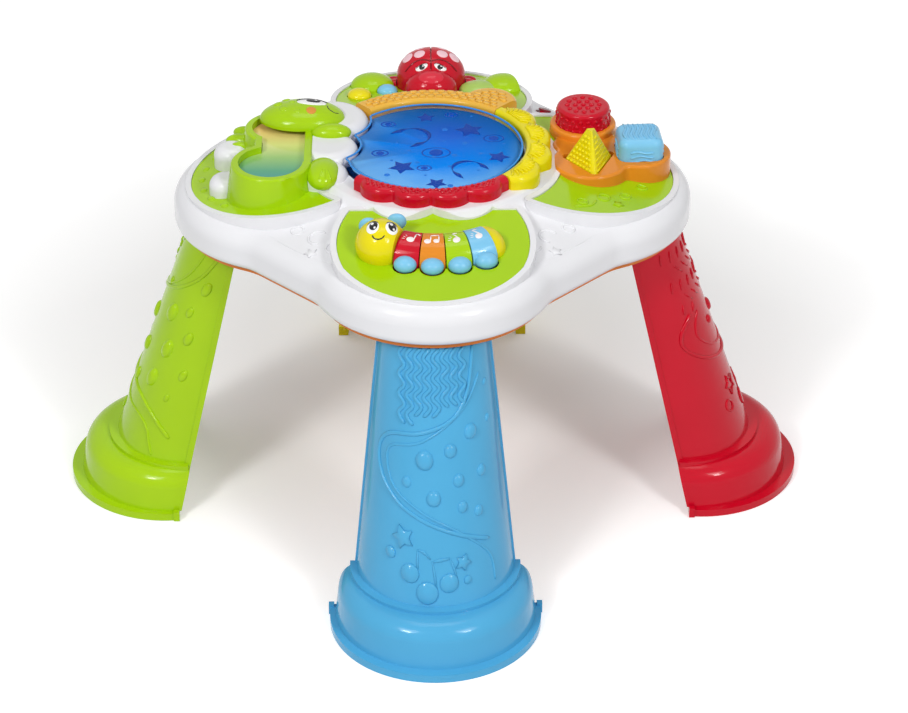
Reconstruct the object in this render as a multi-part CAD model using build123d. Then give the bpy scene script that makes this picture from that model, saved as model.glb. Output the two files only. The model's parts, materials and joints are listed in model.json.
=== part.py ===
from build123d import *
import os
from math import atan, cos, pi, radians, sin, sqrt

# A child's activity table on four legs, in millimetres.
# The origin is on the floor under the middle of the table, +Z is up, and the bug side faces -Y.

# Table top: four round noses joined by straight flanks
SEAM_Z = 301.0
NOSE_RADIUS = 112.0
NOSE_CENTRE = 138.0
FLANK_REACH = 199.0
FLANK_FILLET = 60.0
RIM_BULGE = 10.0
RIM_TOP_Z = 341.5
RIM_TOP_ROUND = 18.0
RIM_LOW_ROUND = 9.5
SHELL_WALL = 3.0
PLATEAU_Z = 370.0
PLATEAU_RADIUS = 118.0
PLATEAU_EDGE_DROP = 13.0
PLATEAU_EDGE_RUN = 12.0
PLATEAU_ROUND = 5.0
VALLEY_ROUND = 10.0
VALLEY_REACH = 195.0
NOSE_TURN = {"front": 0, "right": 90, "back": 180, "left": -90}

# Green panels, one on each nose, sloping up to the plateau
PANEL_NOSE_Z = 341.0
PANEL_RISE = 0.168
PANEL_THICK = 4.0
PANEL_RADIUS = 99.0
PANEL_CENTRE = 143.0
PANEL_INNER_RADIUS = 130.0
PANEL_SIDE_RADIUS = 106.0
PANEL_SIDE_SHIFT = 13.0
PANEL_SIDE_CENTRE = 154.0
PANEL_BACK_REACH = 105.0
PANEL_SCALLOP_RADIUS = 40.0
PANEL_SCALLOP_X = 27.0
PANEL_SCALLOP_REACH = 80.0
BEAD_WIDTH = 6.0
BEAD_HEIGHT = 1.5
FIT_GAP = 0.3

# Drum disc in the middle, its print and its springs
DISC_RADIUS = 92.0
DISC_TOP_Z = 380.0
DISC_THICK = 3.0
DISC_WALL = 2.5
DISC_GAP = 0.8
DISC_ROUND = 1.5
DISC_LIP = 3.4
DISC_LIP_THICK = 2.5
PRINT_THICK = 2.0
DRUM_SPRING_RADIUS = 3.5
DRUM_SPRING_LENGTH = 14.0
DRUM_SPRING_ANGLES = [100, 0, -100]
SPRING_WIRE = 1.2
POST_RADIUS = 5.0

# Raised arches round the disc: each has an inner band and round scallops on it
ARCH_TOP_Z = 384.0
ARCH_ROUND = 6.0
ARCH_INNER_ROUND = 4.0
ARCH_SPLIT = 0.4
RED_BAND = (-137, -45, 106.0)
RED_SCALLOPS = [(-122, 89, 24), (-101.4, 89, 24), (-80.7, 89, 24), (-60, 89, 24)]
YELLOW_BAND = (-45, 47, 108.0)
YELLOW_SCALLOPS = [(-32, 95, 26), (-11, 95, 26), (11, 95, 26), (33, 95, 26)]
ORANGE_BAND = (47, 131, 119.0)
ORANGE_SCALLOPS = [(58, 112, 28)]

# White clouds: middle of each puff, its radius and its top
CLOUD_ROUND = 11.0
CLOUD_LOW_Z = 340.0
INNER_CLOUDS = [(-102, 57, 38, 386), (-104.5, 3, 31, 382), (-106, -42, 23, 379)]
OUTER_CLOUDS = [(-202, 27, 18, 368), (-205, -30, 17, 364)]

# Bug piano, laid out on the front panel: distances are measured up the panel from its nose
CURL_X = 3.0
CURL_UP = 180.5
KEY_INNER = 86.0
KEY_OUTER = 130.0
KEY_HEIGHT = 18.0
KEY_SKIRT = 12.0
KEY_WALL = 2.0
KEY_PITCH = 11.5
KEY_FIRST_ANGLE = 19.0
KEY_GAP = 1.2
KEY_WINDOW_GAP = 1.1
KEY_PRESS_ANGLE = 3.0
KEY_COLOURS = ["red", "orange", "green", "blue"]
FOOT_REACH = 131.0
FOOT_SIZE = (11.0, 9.5, 8.0)
FOOT_RISE = 3.0
FOOT_SKIRT = 4.0
PIN_RADIUS = 1.5
PIN_GAP = 0.08
PIN_END_GAP = 0.6
PIN_EYE_RADIUS = 3.6
PIN_EYE_WIDTH = 10.0
PIN_BEHIND = 6.0
PIN_FLOOR_GAP = 0.6
PIN_BRACKET = 5.0
PLUNGER_RADIUS = 3.0
PLUNGER_REACH = 112.0
HEAD_RADIUS = 25.0
HEAD_X = -50.0
HEAD_UP = 79.0
HEAD_RISE = 7.0
EAR_SIZE = (9.5, 5.0, 9.5)
EARS = [(-62, 97, 15), (-35, 102, 16)]
TAIL_SIZE = (17.0, 22.0, 16.0)
TAIL_REACH = 107.0

# Circuit boards and their rubber pads
BOARD_THICK = 1.6
BOARD_Z = 330.0
MAIN_BOARD_Z = 335.0
PAD_HEIGHT = 2.2
PAD_RADIUS = 4.0
KEY_BOARD = (10, -168, 104, 40)
BACK_BOARD = (-67, 164, 56, 38)
MAIN_BOARD = (0, 0, 104, 74)
LED_RADIUS = 2.5
LED_HEIGHT = 8.0
LED_OFFSET = 26.0

# Ladybird press button on the back panel: centres are in plan
WING_SIZE = (36.0, 31.0, 29.0)
WING_Y = 196.0
WING_Z = 361.0
WING_SPLIT = 1.2
SNOUT_SIZE = (27.0, 20.0, 20.0)
SNOUT_Y = 168.0
SNOUT_Z = 359.0
LADYBIRD_TRAVEL = 4.0
LADYBIRD_GAP = 0.8
LADYBIRD_LIP = 3.0
LADYBIRD_LIP_THICK = 2.0
LADYBIRD_POST_Y = 178.0
LADYBIRD_SPRING_RADIUS = 5.0
LADYBIRD_SPRING_LENGTH = 16.0
LEG_NUB_SIZE = (9.0, 6.0, 5.0)
LEG_NUBS = [(-39, 209), (39, 209), (-38, 199), (38, 199)]

# Two small round buttons beside the ladybird
BUTTON_TRAVEL = 2.0
BUTTON_RISE = 7.0
BUTTON_GAP = 0.6
BUTTON_LIP = 1.4
BUTTON_LIP_THICK = 2.0
YELLOW_BUTTON = (-75, 159, 12.5, 11.5)
BLUE_BUTTON = (-46, 173, 10.5, 9.0)
HILLS = [(-62, 194), (76, 188)]
HILL_SIZE = (23.0, 20.0, 13.0)
BUSH_SIZE = (21.0, 15.0, 9.0)
BUSH_PLACE = (50.0, 178.0)

# Dinosaur light on the left panel
BOWL = (-160, -39, 32)
CHEST = (-154, 36, 27)
NECK_LEFT = -170.0
RING_WALL = 7.0
RING_TOP_Z = 384.0
RING_TAPER = 9.0
RING_ROUND = 2.5
LENS_DEPTH = 7.0
LENS_THICK = 2.5
DINO_HEAD_SIZE = (43.0, 28.0, 17.0)
DINO_HEAD_PLACE = (-131.0, 52.0, 385.0)
DINO_ARM_SIZE = (20.0, 11.0, 9.0)
DINO_ARM_PLACE = (-101.0, 24.0, 383.0)
DINO_FOOT_SIZE = (17.0, 25.0, 13.0)
DINO_FOOT_PLACE = (-108.0, -45.0, 373.0)
FRILL_FINGERS = [(-186, 62, 70), (-192, 46, 80), (-190, 30, 95)]
FRILL_SIZE = (8.0, 17.0, 8.0)
FRILL_Z = 362.0

# Shape sorter on the right panel
SORTER_TOP_Z = 365.0
SORTER_TIER_Z = 372.0
SORTER_ROUND = 3.0
SORTER_CREASE = 7.0
SORTER_TIER_INSET = 0.5
SORTER_SLACK = 0.7
CYLINDER_PLACE = (154, 66)
CYLINDER_RADIUS = 27.0
CYLINDER_HEIGHT = 30.0
CYLINDER_SEAT_Z = 361.0
PYRAMID_PLACE = (158, -6)
PYRAMID_RADIUS = 33.0
PYRAMID_TIP_RADIUS = 5.0
PYRAMID_CORNER = 5.0
PYRAMID_TURN = 37.0
PYRAMID_HEIGHT = 41.0
PYRAMID_SEAT_Z = 359.0
CUBE_PLACE = (208, 14)
CUBE_SIDE = 45.0
CUBE_CORNER = 10.0
CUBE_TURN = 4.0
CUBE_HEIGHT = 32.0
CUBE_SEAT_Z = 355.0
BLOCK_ROUND = 4.0
SORTER_LOBES = [(154, 66, 34), (144, 32, 22), (158, -4, 38), (207, 14, 33)]

# Volume switch on the white valley at the back right
SWITCH_PLACE = (118.0, 138.0)
SWITCH_SLOT = (22.0, 9.0)
SWITCH_KNOB = (11.0, 8.2)
SWITCH_PLATE = (36.0, 13.0)
SWITCH_PLATE_THICK = 2.0
SWITCH_GAP = 0.6
SWITCH_RISE = 2.2

# Tray under the table top
TRAY_BAND = 5.0
TRAY_FLOOR = 3.0
TRAY_LIP = 5.0
TRAY_LIP_WALL = 2.0

# Legs: half-round shells that lean outwards, open towards the middle
LEG_FLOOR_REACH = 263.0
LEG_TOP_REACH = 194.0
LEG_FLOOR_HALF = 83.0
LEG_TOP_HALF = 52.0
LEG_FLOOR_DEPTH = 87.4
LEG_TOP_DEPTH = 52.0
LEG_WALL = 3.0
LEG_EDGE = 1.6
LEG_EDGE_BAND = 6.0
FOOT_TOP_Z = 50.0
FOOT_LOW_HALF = 98.0
FOOT_TOP_HALF = 92.0
FOOT_LOW_DEPTH = 110.0
FOOT_TOP_DEPTH = 112.0
FOOT_ROUND = 20.0
COLLAR_RISE = 3.5
COLLAR_DROP = 8.0
COLLAR_GROW = 6.0
FLANGE_THICK = 8.0
FLANGE_HALF = 103.0
FLANGE_DEPTH = 119.0
EAR_TAB = (2.5, 6.0, 11.0)
TENON_INSET = 0.8
TENON_LENGTH = 24.0
SOCKET_WALL = 2.2

# Battery box, speaker and screws
CELL_RADIUS = 7.1
CELL_LENGTH = 50.5
CELL_COUNT = 3
CELL_GAP = 0.6
CONTACT_THICK = 2.0
BOX_WALL = 2.5
DOOR_THICK = 2.5
SPEAKER_PLACE = (-130.0, 0.0)
SPEAKER_RADIUS = 25.0
SPEAKER_HEIGHT = 14.0
GRILLE_HOLE = 1.8
GRILLE_PITCH = 7.0
GRILLE_COUNT = 5
SCREW_RADIUS = 1.5
SCREW_HEAD_RADIUS = 3.0
SCREW_HEAD = 2.0
SCREW_LENGTH = 14.0
SCREW_REACH = 158.0
SCREW_ANGLES = [45, 135, 225, 315]
SCREW_BOSS_RADIUS = 5.0

# Values that follow from the ones above
BIG = 900.0
TRAY_Z = SEAM_Z - TRAY_BAND
TRAY_INSIDE_Z = TRAY_Z + TRAY_FLOOR
PANEL_NOSE_REACH = PANEL_CENTRE + PANEL_RADIUS
SLOPE = atan(PANEL_RISE)
PANEL_FRAME = Plane(
    origin=(0, -PANEL_NOSE_REACH, PANEL_NOSE_Z), x_dir=(1, 0, 0), z_dir=(0, -sin(SLOPE), cos(SLOPE))
)
FLOOR_DEPTH = PANEL_THICK + SHELL_WALL
LIP_TOP_Z = PLATEAU_Z - SHELL_WALL - FIT_GAP
PIN_DEPTH = FLOOR_DEPTH + PIN_FLOOR_GAP + PIN_EYE_RADIUS
PIN_UP = CURL_UP - KEY_INNER + PIN_BEHIND
CELL_PITCH = 2 * CELL_RADIUS + CELL_GAP
BOX_WIDTH = CELL_PITCH * CELL_COUNT + CELL_GAP
BOX_LENGTH = CELL_LENGTH + 2 * CONTACT_THICK + 2 * CELL_GAP
BOX_TOP_Z = TRAY_Z + DOOR_THICK + 2 * CELL_RADIUS + 2 * CELL_GAP


def polar(radius, angle):
    """Point in plan at a distance and an angle in degrees from +X."""
    return (radius * cos(radians(angle)), radius * sin(radians(angle)))


def column(x, y, radius, low, top):
    """Upright cylinder between two heights."""
    return Pos(x, y, low) * Cylinder(radius, top - low, align=(Align.CENTER, Align.CENTER, Align.MIN))


def prism(plan, low, top):
    """Upright prism of a flat outline between two heights."""
    return extrude(Pos(0, 0, low) * plan, top - low)


def block(x, y, width, length, low, top):
    """Upright box round a middle point."""
    return prism(Pos(x, y) * Rectangle(width, length), low, top)


def ellipsoid(size, place, pole_tilt=90):
    """Ball stretched to three half sizes; its poles lie along Y, or along Z when not tilted."""
    return Pos(*place) * scale(Rot(pole_tilt, 0, 0) * Sphere(1), by=size)


def puff(x, y, radius, low, top, round_size):
    """Round pad with a rounded top edge."""
    pad = column(x, y, radius, low, top)
    return fillet(pad.edges().group_by(Axis.Z)[-1], round_size)


def half_space(frame, height, side):
    """Everything above or below a plane raised by a height along its normal."""
    return frame.location * Pos(0, 0, height) * Box(BIG, BIG, BIG, align=(Align.CENTER, Align.CENTER, side))


def above(frame, height):
    return half_space(frame, height, Align.MIN)


def below(frame, height):
    return half_space(frame, height, Align.MAX)


def on_nose(shape, nose):
    """Turn a shape made for the front nose to another nose."""
    return Rot(0, 0, NOSE_TURN[nose]) * shape


def nose_frame(nose):
    """Plane of a nose's panel, with its Y axis pointing up the slope."""
    turn = Location((0, 0, 0), (0, 0, NOSE_TURN[nose]))
    return Plane(turn * PANEL_FRAME.location)


def panel_z(x, y, nose):
    """Height of a panel's face above a point in plan."""
    outward = nose_frame(nose).origin.X, nose_frame(nose).origin.Y
    reach = (x * outward[0] + y * outward[1]) / PANEL_NOSE_REACH
    return PANEL_NOSE_Z + PANEL_RISE * (PANEL_NOSE_REACH - reach)


def lobed_plan(grow):
    """Outline of the table top in plan, grown by a parallel distance."""
    across = Vector(sqrt(0.5), -sqrt(0.5))
    along = Vector(sqrt(0.5), sqrt(0.5))
    nose = Vector(0, -NOSE_CENTRE)
    side = FLANK_REACH + FLANK_FILLET - nose.dot(across)
    start = nose.dot(along) + sqrt((NOSE_RADIUS + FLANK_FILLET) ** 2 - side ** 2)
    hollow = across * (FLANK_REACH + FLANK_FILLET) + along * start
    leave = nose + (hollow - nose).normalized() * (NOSE_RADIUS + grow)
    meet = across * (FLANK_REACH + grow) + along * start
    middle = hollow + ((leave + meet) * 0.5 - hollow).normalized() * (FLANK_FILLET - grow)
    far_meet = meet - along * (2 * start)
    far_middle = Vector(-middle.Y, -middle.X)
    far_leave = Vector(-leave.Y, -leave.X)
    edges = []
    for turn in range(4):
        place = Rot(0, 0, 90 * turn)
        edges.append(place * ThreePointArc((-leave.X, leave.Y), (0, -NOSE_CENTRE - NOSE_RADIUS - grow), leave))
        edges.append(place * ThreePointArc(leave, middle, meet))
        edges.append(place * Line(meet, far_meet))
        edges.append(place * ThreePointArc(far_meet, far_middle, far_leave))
    return make_face(edges)


def rim_slab(inset):
    """Rounded slab of the table top, or the hollow in it when inset by the wall."""
    slab = prism(lobed_plan(RIM_BULGE - inset), SEAM_Z + inset, RIM_TOP_Z - inset)
    slab = fillet(slab.edges().group_by(Axis.Z)[-1], RIM_TOP_ROUND - inset)
    return fillet(slab.edges().group_by(Axis.Z)[0], RIM_LOW_ROUND - inset)


def dome(inset):
    """Raised middle: a flat plateau, a rounded shoulder and the sloping valleys."""
    shoulder_z = PLATEAU_Z - PLATEAU_EDGE_DROP
    outline = Polyline(
        (0, SEAM_Z + inset),
        (0, PLATEAU_Z - inset),
        (PLATEAU_RADIUS - inset / 2, PLATEAU_Z - inset),
        (PLATEAU_RADIUS + PLATEAU_EDGE_RUN - inset / 2, shoulder_z - inset),
        (VALLEY_REACH, RIM_TOP_Z - inset),
        (VALLEY_REACH, SEAM_Z + inset),
        close=True,
    )
    profile = make_face(Plane.XZ * outline)
    edge = profile.vertices().filter_by(lambda v: abs(v.Z - PLATEAU_Z + inset) < 0.01 and v.X > 1)
    profile = fillet(edge, PLATEAU_ROUND)
    foot = profile.vertices().filter_by(lambda v: abs(v.Z - shoulder_z + inset) < 0.01)
    profile = fillet(foot, VALLEY_ROUND)
    return revolve(profile, Axis.Z)


def valley_fall():
    """Slope of the valleys away from the middle."""
    shoulder = PLATEAU_RADIUS + PLATEAU_EDGE_RUN
    return (PLATEAU_Z - PLATEAU_EDGE_DROP - RIM_TOP_Z) / (VALLEY_REACH - shoulder)


def valley_z(reach):
    return RIM_TOP_Z + (VALLEY_REACH - reach) * valley_fall()


def panel_plan(nose):
    """Outline of a green panel in plan, on the front nose."""
    outline = Pos(0, -PANEL_CENTRE) * Circle(PANEL_RADIUS)
    if nose != "front":
        return outline - Circle(PANEL_INNER_RADIUS)
    for side in (-1, 1):
        outline &= Pos(side * PANEL_SIDE_SHIFT, -PANEL_SIDE_CENTRE) * Circle(PANEL_SIDE_RADIUS)
    back = Pos(0, -PANEL_BACK_REACH) * Rectangle(BIG, BIG, align=(Align.CENTER, Align.MIN))
    outline -= back
    for side in (-1, 1):
        outline -= Pos(side * PANEL_SCALLOP_X, -PANEL_SCALLOP_REACH) * Circle(PANEL_SCALLOP_RADIUS)
    return outline


def panel_slab(nose, grow, low, high):
    """Part of a nose between two depths below its sloping face, turned into place."""
    plan = panel_plan(nose)
    if grow:
        plan = offset(plan, grow, kind=Kind.ARC)
    slab = prism(plan, SEAM_Z, PLATEAU_Z + 2 * FLOOR_DEPTH) & below(PANEL_FRAME, high)
    return on_nose(slab & above(PANEL_FRAME, low), nose)


def disc_plan(grow):
    """Outline of the drum disc, bitten by the inner clouds."""
    outline = Circle(DISC_RADIUS + grow)
    for x, y, radius, top in INNER_CLOUDS:
        outline -= Pos(x, y) * Circle(radius + DISC_GAP - grow)
    return outline


def key_sector(start, sweep, inner, outer, low, high):
    """Sector of a ring round the middle of the bug's curl, square to the panel."""
    ring = Circle(outer) - Circle(inner)
    far = 2 * outer
    first = -90 - start
    wedge = Polyline((0, 0), polar(far, first), polar(far, first + sweep / 2), polar(far, first + sweep), close=True)
    sector = ring & make_face(wedge)
    return Pos(CURL_X, CURL_UP, low) * extrude(sector, high - low)


def key_start(index):
    """Angle of a key's left side; the first key is nearest the head."""
    return KEY_FIRST_ANGLE - KEY_PITCH * index


def foot_place(index):
    """Middle of a key's foot on the panel."""
    angle = radians(-90 - key_start(index) + KEY_PITCH / 2)
    return (CURL_X + FOOT_REACH * cos(angle), CURL_UP + FOOT_REACH * sin(angle))


def key_plan_tool(grow):
    """Prism that follows the keys and their feet, for the windows they move in."""
    sweep = KEY_PITCH * len(KEY_COLOURS)
    tool = key_sector(KEY_FIRST_ANGLE, sweep, KEY_INNER - grow, KEY_OUTER + grow, -2 * FLOOR_DEPTH, FLOOR_DEPTH)
    for index in range(len(KEY_COLOURS)):
        x, up = foot_place(index)
        oval = Pos(x, up) * Ellipse(FOOT_SIZE[0] + grow, FOOT_SIZE[1] + grow)
        tool += prism(oval, -2 * FLOOR_DEPTH, FLOOR_DEPTH)
    return PANEL_FRAME.location * tool


def key_pin_place():
    """Middle of the pin that the keys turn on."""
    return PANEL_FRAME.location * Pos(0, PIN_UP, -PIN_DEPTH)


def key_pin(radius, first, last):
    rod = Rot(0, 90, 0) * Cylinder(radius, last - first)
    return key_pin_place() * Pos((first + last) / 2, 0, 0) * rod


def pin_span():
    """Ends of the key pin: the outer faces of its two lugs."""
    half = PIN_EYE_WIDTH / 2 + PIN_END_GAP + PIN_BRACKET
    return key_eye_x(0) - half, key_eye_x(len(KEY_COLOURS) - 1) + half


def key_eye_x(index):
    """Where a key's arm meets the pin."""
    angle = radians(-90 - key_start(index) + KEY_PITCH / 2)
    return CURL_X + KEY_INNER * cos(angle)


def hump_ring(inset, start, sweep):
    """Humped body of the bug, or the hollow in it, over some degrees of its curl."""
    middle = (KEY_INNER + KEY_OUTER) / 2
    hump = EllipticalCenterArc((middle, 0), (KEY_OUTER - KEY_INNER) / 2 - inset, KEY_HEIGHT - inset, arc_size=180)
    skirt = Polyline(hump @ 1, (KEY_INNER + inset, -KEY_SKIRT), (KEY_OUTER - inset, -KEY_SKIRT), hump @ 0)
    profile = Plane.XZ * make_face([hump, skirt])
    return Pos(CURL_X, CURL_UP, 0) * Rot(0, 0, start) * revolve(profile, Axis.Z, sweep)


def key_shell(index, inset):
    """Body of one key, or the hollow in it."""
    trim = KEY_GAP / 2 / KEY_OUTER * 180 / pi
    skin = inset / KEY_INNER * 180 / pi
    return hump_ring(inset, -90 - key_start(index) + trim + skin, KEY_PITCH - 2 * trim - 2 * skin)


def plunger_place(index):
    """Where a key's plunger stands, in plan, and how far it drops when the key is pressed."""
    angle = radians(-90 - key_start(index) + KEY_PITCH / 2)
    up = CURL_UP + PLUNGER_REACH * sin(angle)
    spot = (PANEL_FRAME.location * Pos(CURL_X + PLUNGER_REACH * cos(angle), up, 0)).position
    return spot.X, spot.Y, (PIN_UP - up) * sin(radians(KEY_PRESS_ANGLE))


def key_body(index):
    """Key: hollow hump, arm and eye for the pin, and the plunger that presses its pad."""
    key = key_shell(index, 0) - key_shell(index, KEY_WALL)
    eye_x = key_eye_x(index)
    angle = radians(-90 - key_start(index) + KEY_PITCH / 2)
    arm_top = -FLOOR_DEPTH - PIN_FLOOR_GAP
    arm_low = -PIN_DEPTH - PIN_RADIUS
    back = CURL_UP + KEY_INNER * sin(angle) - KEY_WALL
    arm = Pos(eye_x, (back + PIN_UP) / 2, (arm_top + arm_low) / 2) * Box(
        PIN_EYE_WIDTH, PIN_UP - back, arm_top - arm_low
    )
    eye = Pos(eye_x, PIN_UP, -PIN_DEPTH) * Rot(0, 90, 0) * Cylinder(PIN_EYE_RADIUS, PIN_EYE_WIDTH)
    key = PANEL_FRAME.location * (key + arm + eye)
    key -= key_pin(PIN_RADIUS + PIN_GAP, -BIG / 4, BIG / 4)
    x, y, drop = plunger_place(index)
    low = BOARD_Z + BOARD_THICK + PAD_HEIGHT + FIT_GAP + drop
    return key + column(x, y, PLUNGER_RADIUS, low, panel_z(x, y, "front") + KEY_HEIGHT - KEY_WALL)


def key_foot(index):
    """Blue foot fixed to the front of a key."""
    x, up = foot_place(index)
    foot = ellipsoid(FOOT_SIZE, (x, up, FOOT_RISE)) - hump_ring(0, 0, 360)
    return PANEL_FRAME.location * foot.solids().sort_by(SortBy.VOLUME)[-1]


def bug_head():
    ball = Pos(HEAD_X, HEAD_UP, HEAD_RISE) * Sphere(HEAD_RADIUS)
    beside = key_sector(KEY_FIRST_ANGLE, KEY_PITCH, KEY_INNER / 2, 2 * KEY_OUTER, -HEAD_RADIUS, 2 * HEAD_RADIUS)
    return (PANEL_FRAME.location * (ball - beside)) & above(PANEL_FRAME, 0)


def bug_ears():
    """Two flat round ears behind the head."""
    ball = Pos(HEAD_X, HEAD_UP, HEAD_RISE) * Sphere(HEAD_RADIUS)
    ears = []
    for x, up, rise in EARS:
        ear = (ellipsoid(EAR_SIZE, (x, up, rise)) - ball).solids().sort_by(SortBy.VOLUME)[-1]
        ears.append(PANEL_FRAME.location * ear)
    return ears


def bug_tail():
    """Rounded end of the body beside the last key."""
    last = KEY_FIRST_ANGLE - KEY_PITCH * len(KEY_COLOURS)
    tail = Rot(0, 0, -90 - last) * ellipsoid((TAIL_SIZE[1], TAIL_SIZE[0], TAIL_SIZE[2]), (TAIL_REACH, 0, 0))
    beside = key_sector(last + KEY_PITCH, KEY_PITCH, KEY_INNER / 2, 2 * KEY_OUTER, -HEAD_RADIUS, 2 * HEAD_RADIUS)
    tail = Pos(CURL_X, CURL_UP, 0) * tail - beside
    return (PANEL_FRAME.location * tail) & above(PANEL_FRAME, 0)


def board(place, low):
    x, y, width, length = place
    return block(x, y, width, length, low, low + BOARD_THICK)


def pad(x, y):
    """Rubber pad on a circuit board."""
    top = BOARD_Z + BOARD_THICK
    return column(x, y, PAD_RADIUS, top, top + PAD_HEIGHT)


def board_posts(place, top):
    """Tray posts under a board's corners."""
    x, y, width, length = place
    posts = []
    for side in (-1, 1):
        for end in (-1, 1):
            post_x = x + side * (width / 2 - PAD_RADIUS)
            post_y = y + end * (length / 2 - PAD_RADIUS)
            posts.append(column(post_x, post_y, PAD_RADIUS, TRAY_Z, top))
    return posts


def ladybird_plan(grow):
    wings = Pos(0, WING_Y) * Ellipse(WING_SIZE[0] + grow, WING_SIZE[1] + grow)
    return wings + Pos(0, SNOUT_Y) * Ellipse(SNOUT_SIZE[0] + grow, SNOUT_SIZE[1] + grow)


def ladybird_lip_z():
    """Height of the lip that keeps the ladybird in: under the lowest part of the floor round it."""
    return panel_z(0, WING_Y + WING_SIZE[1] + LADYBIRD_LIP, "back") - FLOOR_DEPTH / cos(SLOPE) - FIT_GAP


def ladybird_body():
    """Snout, skirt and lip of the ladybird button, hollow from below."""
    lip_z = ladybird_lip_z()
    snout = ellipsoid(SNOUT_SIZE, (0, SNOUT_Y, SNOUT_Z))
    skirt = prism(ladybird_plan(0), lip_z - LADYBIRD_LIP_THICK, SNOUT_Z)
    lip = prism(ladybird_plan(LADYBIRD_LIP), lip_z - LADYBIRD_LIP_THICK, lip_z)
    hollow = prism(ladybird_plan(-SHELL_WALL), lip_z - LADYBIRD_LIP_THICK, SNOUT_Z - SHELL_WALL)
    seat = column(0, LADYBIRD_POST_Y, LADYBIRD_SPRING_RADIUS, lip_z - LADYBIRD_LIP_THICK, SNOUT_Z - 1)
    body = snout & half_space(Plane.XY, lip_z, Align.MIN)
    return body + skirt + lip - hollow + seat


def ladybird_wing(side):
    """One domed wing case, resting on the body."""
    wings = ellipsoid(WING_SIZE, (0, WING_Y, WING_Z)) & half_space(Plane.XY, SNOUT_Z, Align.MIN)
    wings -= ellipsoid(SNOUT_SIZE, (0, SNOUT_Y, SNOUT_Z))
    half = Pos(side * (BIG / 2 + WING_SPLIT / 2), 0, 0) * Box(BIG, BIG, BIG)
    return (wings & half).solids().sort_by(SortBy.VOLUME)[-1]


def ladybird_legs():
    """Four small feet that stand out beside the ladybird."""
    window = prism(ladybird_plan(LADYBIRD_GAP), SEAM_Z, PLATEAU_Z + 2 * SNOUT_SIZE[2])
    legs = []
    for x, y in LEG_NUBS:
        nub = ellipsoid(LEG_NUB_SIZE, (x, y, panel_z(x, y, "back") + 1)) - window - hills()
        legs.append(nub & above(nose_frame("back"), 0))
    return legs


def button_lip_z(spot):
    x, y, width, length = spot
    return panel_z(x, y + length + BUTTON_LIP, "back") - FLOOR_DEPTH / cos(SLOPE) - FIT_GAP


def button(spot):
    """Small domed push button with a lip under the panel and a plunger over its pad."""
    x, y, width, length = spot
    lip_z = button_lip_z(spot)
    rim_z = panel_z(x, y, "back") + 1
    low = BOARD_Z + BOARD_THICK + PAD_HEIGHT + FIT_GAP + BUTTON_TRAVEL
    cap = ellipsoid((width, length, BUTTON_RISE), (x, y, rim_z)) & half_space(Plane.XY, rim_z, Align.MIN)
    stem = prism(Pos(x, y) * Ellipse(width, length), lip_z - BUTTON_LIP_THICK, rim_z)
    lip = prism(Pos(x, y) * Ellipse(width + BUTTON_LIP, length + BUTTON_LIP), lip_z - BUTTON_LIP_THICK, lip_z)
    hollow = prism(Pos(x, y) * Ellipse(width - KEY_WALL, length - KEY_WALL), lip_z - BUTTON_LIP_THICK, rim_z)
    return cap + stem + lip - hollow + column(x, y, PLUNGER_RADIUS, low, rim_z + 1)


def glow_bush():
    """Low see-through bush on the back panel, lit from below."""
    x, y = BUSH_PLACE
    bush = ellipsoid(BUSH_SIZE, (x, y, panel_z(x, y, "back"))) & above(nose_frame("back"), 0)
    return bush - prism(ladybird_plan(LADYBIRD_GAP), SEAM_Z, PLATEAU_Z) - hills()


def hills():
    """Two round hills on the back panel, behind the ladybird's sides."""
    humps = Part()
    for x, y in HILLS:
        humps += ellipsoid(HILL_SIZE, (x, y, panel_z(x, y, "back")))
    return humps & panel_slab("back", 0, -PANEL_THICK / 2, 2 * HILL_SIZE[2])


def back_windows():
    """Windows that the ladybird and the two buttons move in."""
    tool = prism(ladybird_plan(LADYBIRD_GAP), SEAM_Z, PLATEAU_Z)
    for x, y, width, length in (YELLOW_BUTTON, BLUE_BUTTON):
        tool += prism(Pos(x, y) * Ellipse(width + BUTTON_GAP, length + BUTTON_GAP), SEAM_Z, PLATEAU_Z)
    return tool


def arch(band, scallops):
    """Raised arch round the disc: a band with round scallops on its outer edge."""
    first, last, outer = band
    inner = DISC_RADIUS + DISC_GAP + DISC_WALL / 2
    pad = puff(0, 0, outer, CLOUD_LOW_Z, ARCH_TOP_Z, ARCH_ROUND)
    for angle, reach, radius in scallops:
        x, y = polar(reach, angle)
        pad += puff(x, y, radius, CLOUD_LOW_Z, ARCH_TOP_Z, ARCH_ROUND)
    pad -= column(0, 0, inner, SEAM_Z, ARCH_TOP_Z + 1)
    round_z = ARCH_TOP_Z - ARCH_INNER_ROUND
    flare = column(0, 0, inner + ARCH_INNER_ROUND, round_z, ARCH_TOP_Z + 1)
    pad -= flare - Pos(0, 0, round_z) * Torus(inner + ARCH_INNER_ROUND, ARCH_INNER_ROUND)
    trim = ARCH_SPLIT / inner * 180 / pi
    corner = 2 * outer
    middle = (first + last) / 2
    wedge = Polyline(
        (0, 0), polar(corner, first + trim), polar(corner, middle), polar(corner, last - trim), close=True
    )
    return pad & prism(make_face(wedge), SEAM_Z, ARCH_TOP_Z + 1)


def drum_disc():
    """See-through drum skin: a disc with a skirt and a lip that holds it under the plateau."""
    low = LIP_TOP_Z - DISC_LIP_THICK
    disc = prism(disc_plan(0), low, DISC_TOP_Z)
    disc = fillet(disc.edges().group_by(Axis.Z)[-1], DISC_ROUND)
    disc += prism(offset(disc_plan(0), DISC_LIP, kind=Kind.ARC), low, LIP_TOP_Z)
    return disc - prism(disc_plan(-DISC_WALL), low, DISC_TOP_Z - DISC_THICK)


def drum_print():
    """Printed plate under the see-through disc."""
    top = DISC_TOP_Z - DISC_THICK
    return prism(disc_plan(-DISC_WALL - FIT_GAP), top - PRINT_THICK, top)


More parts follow.
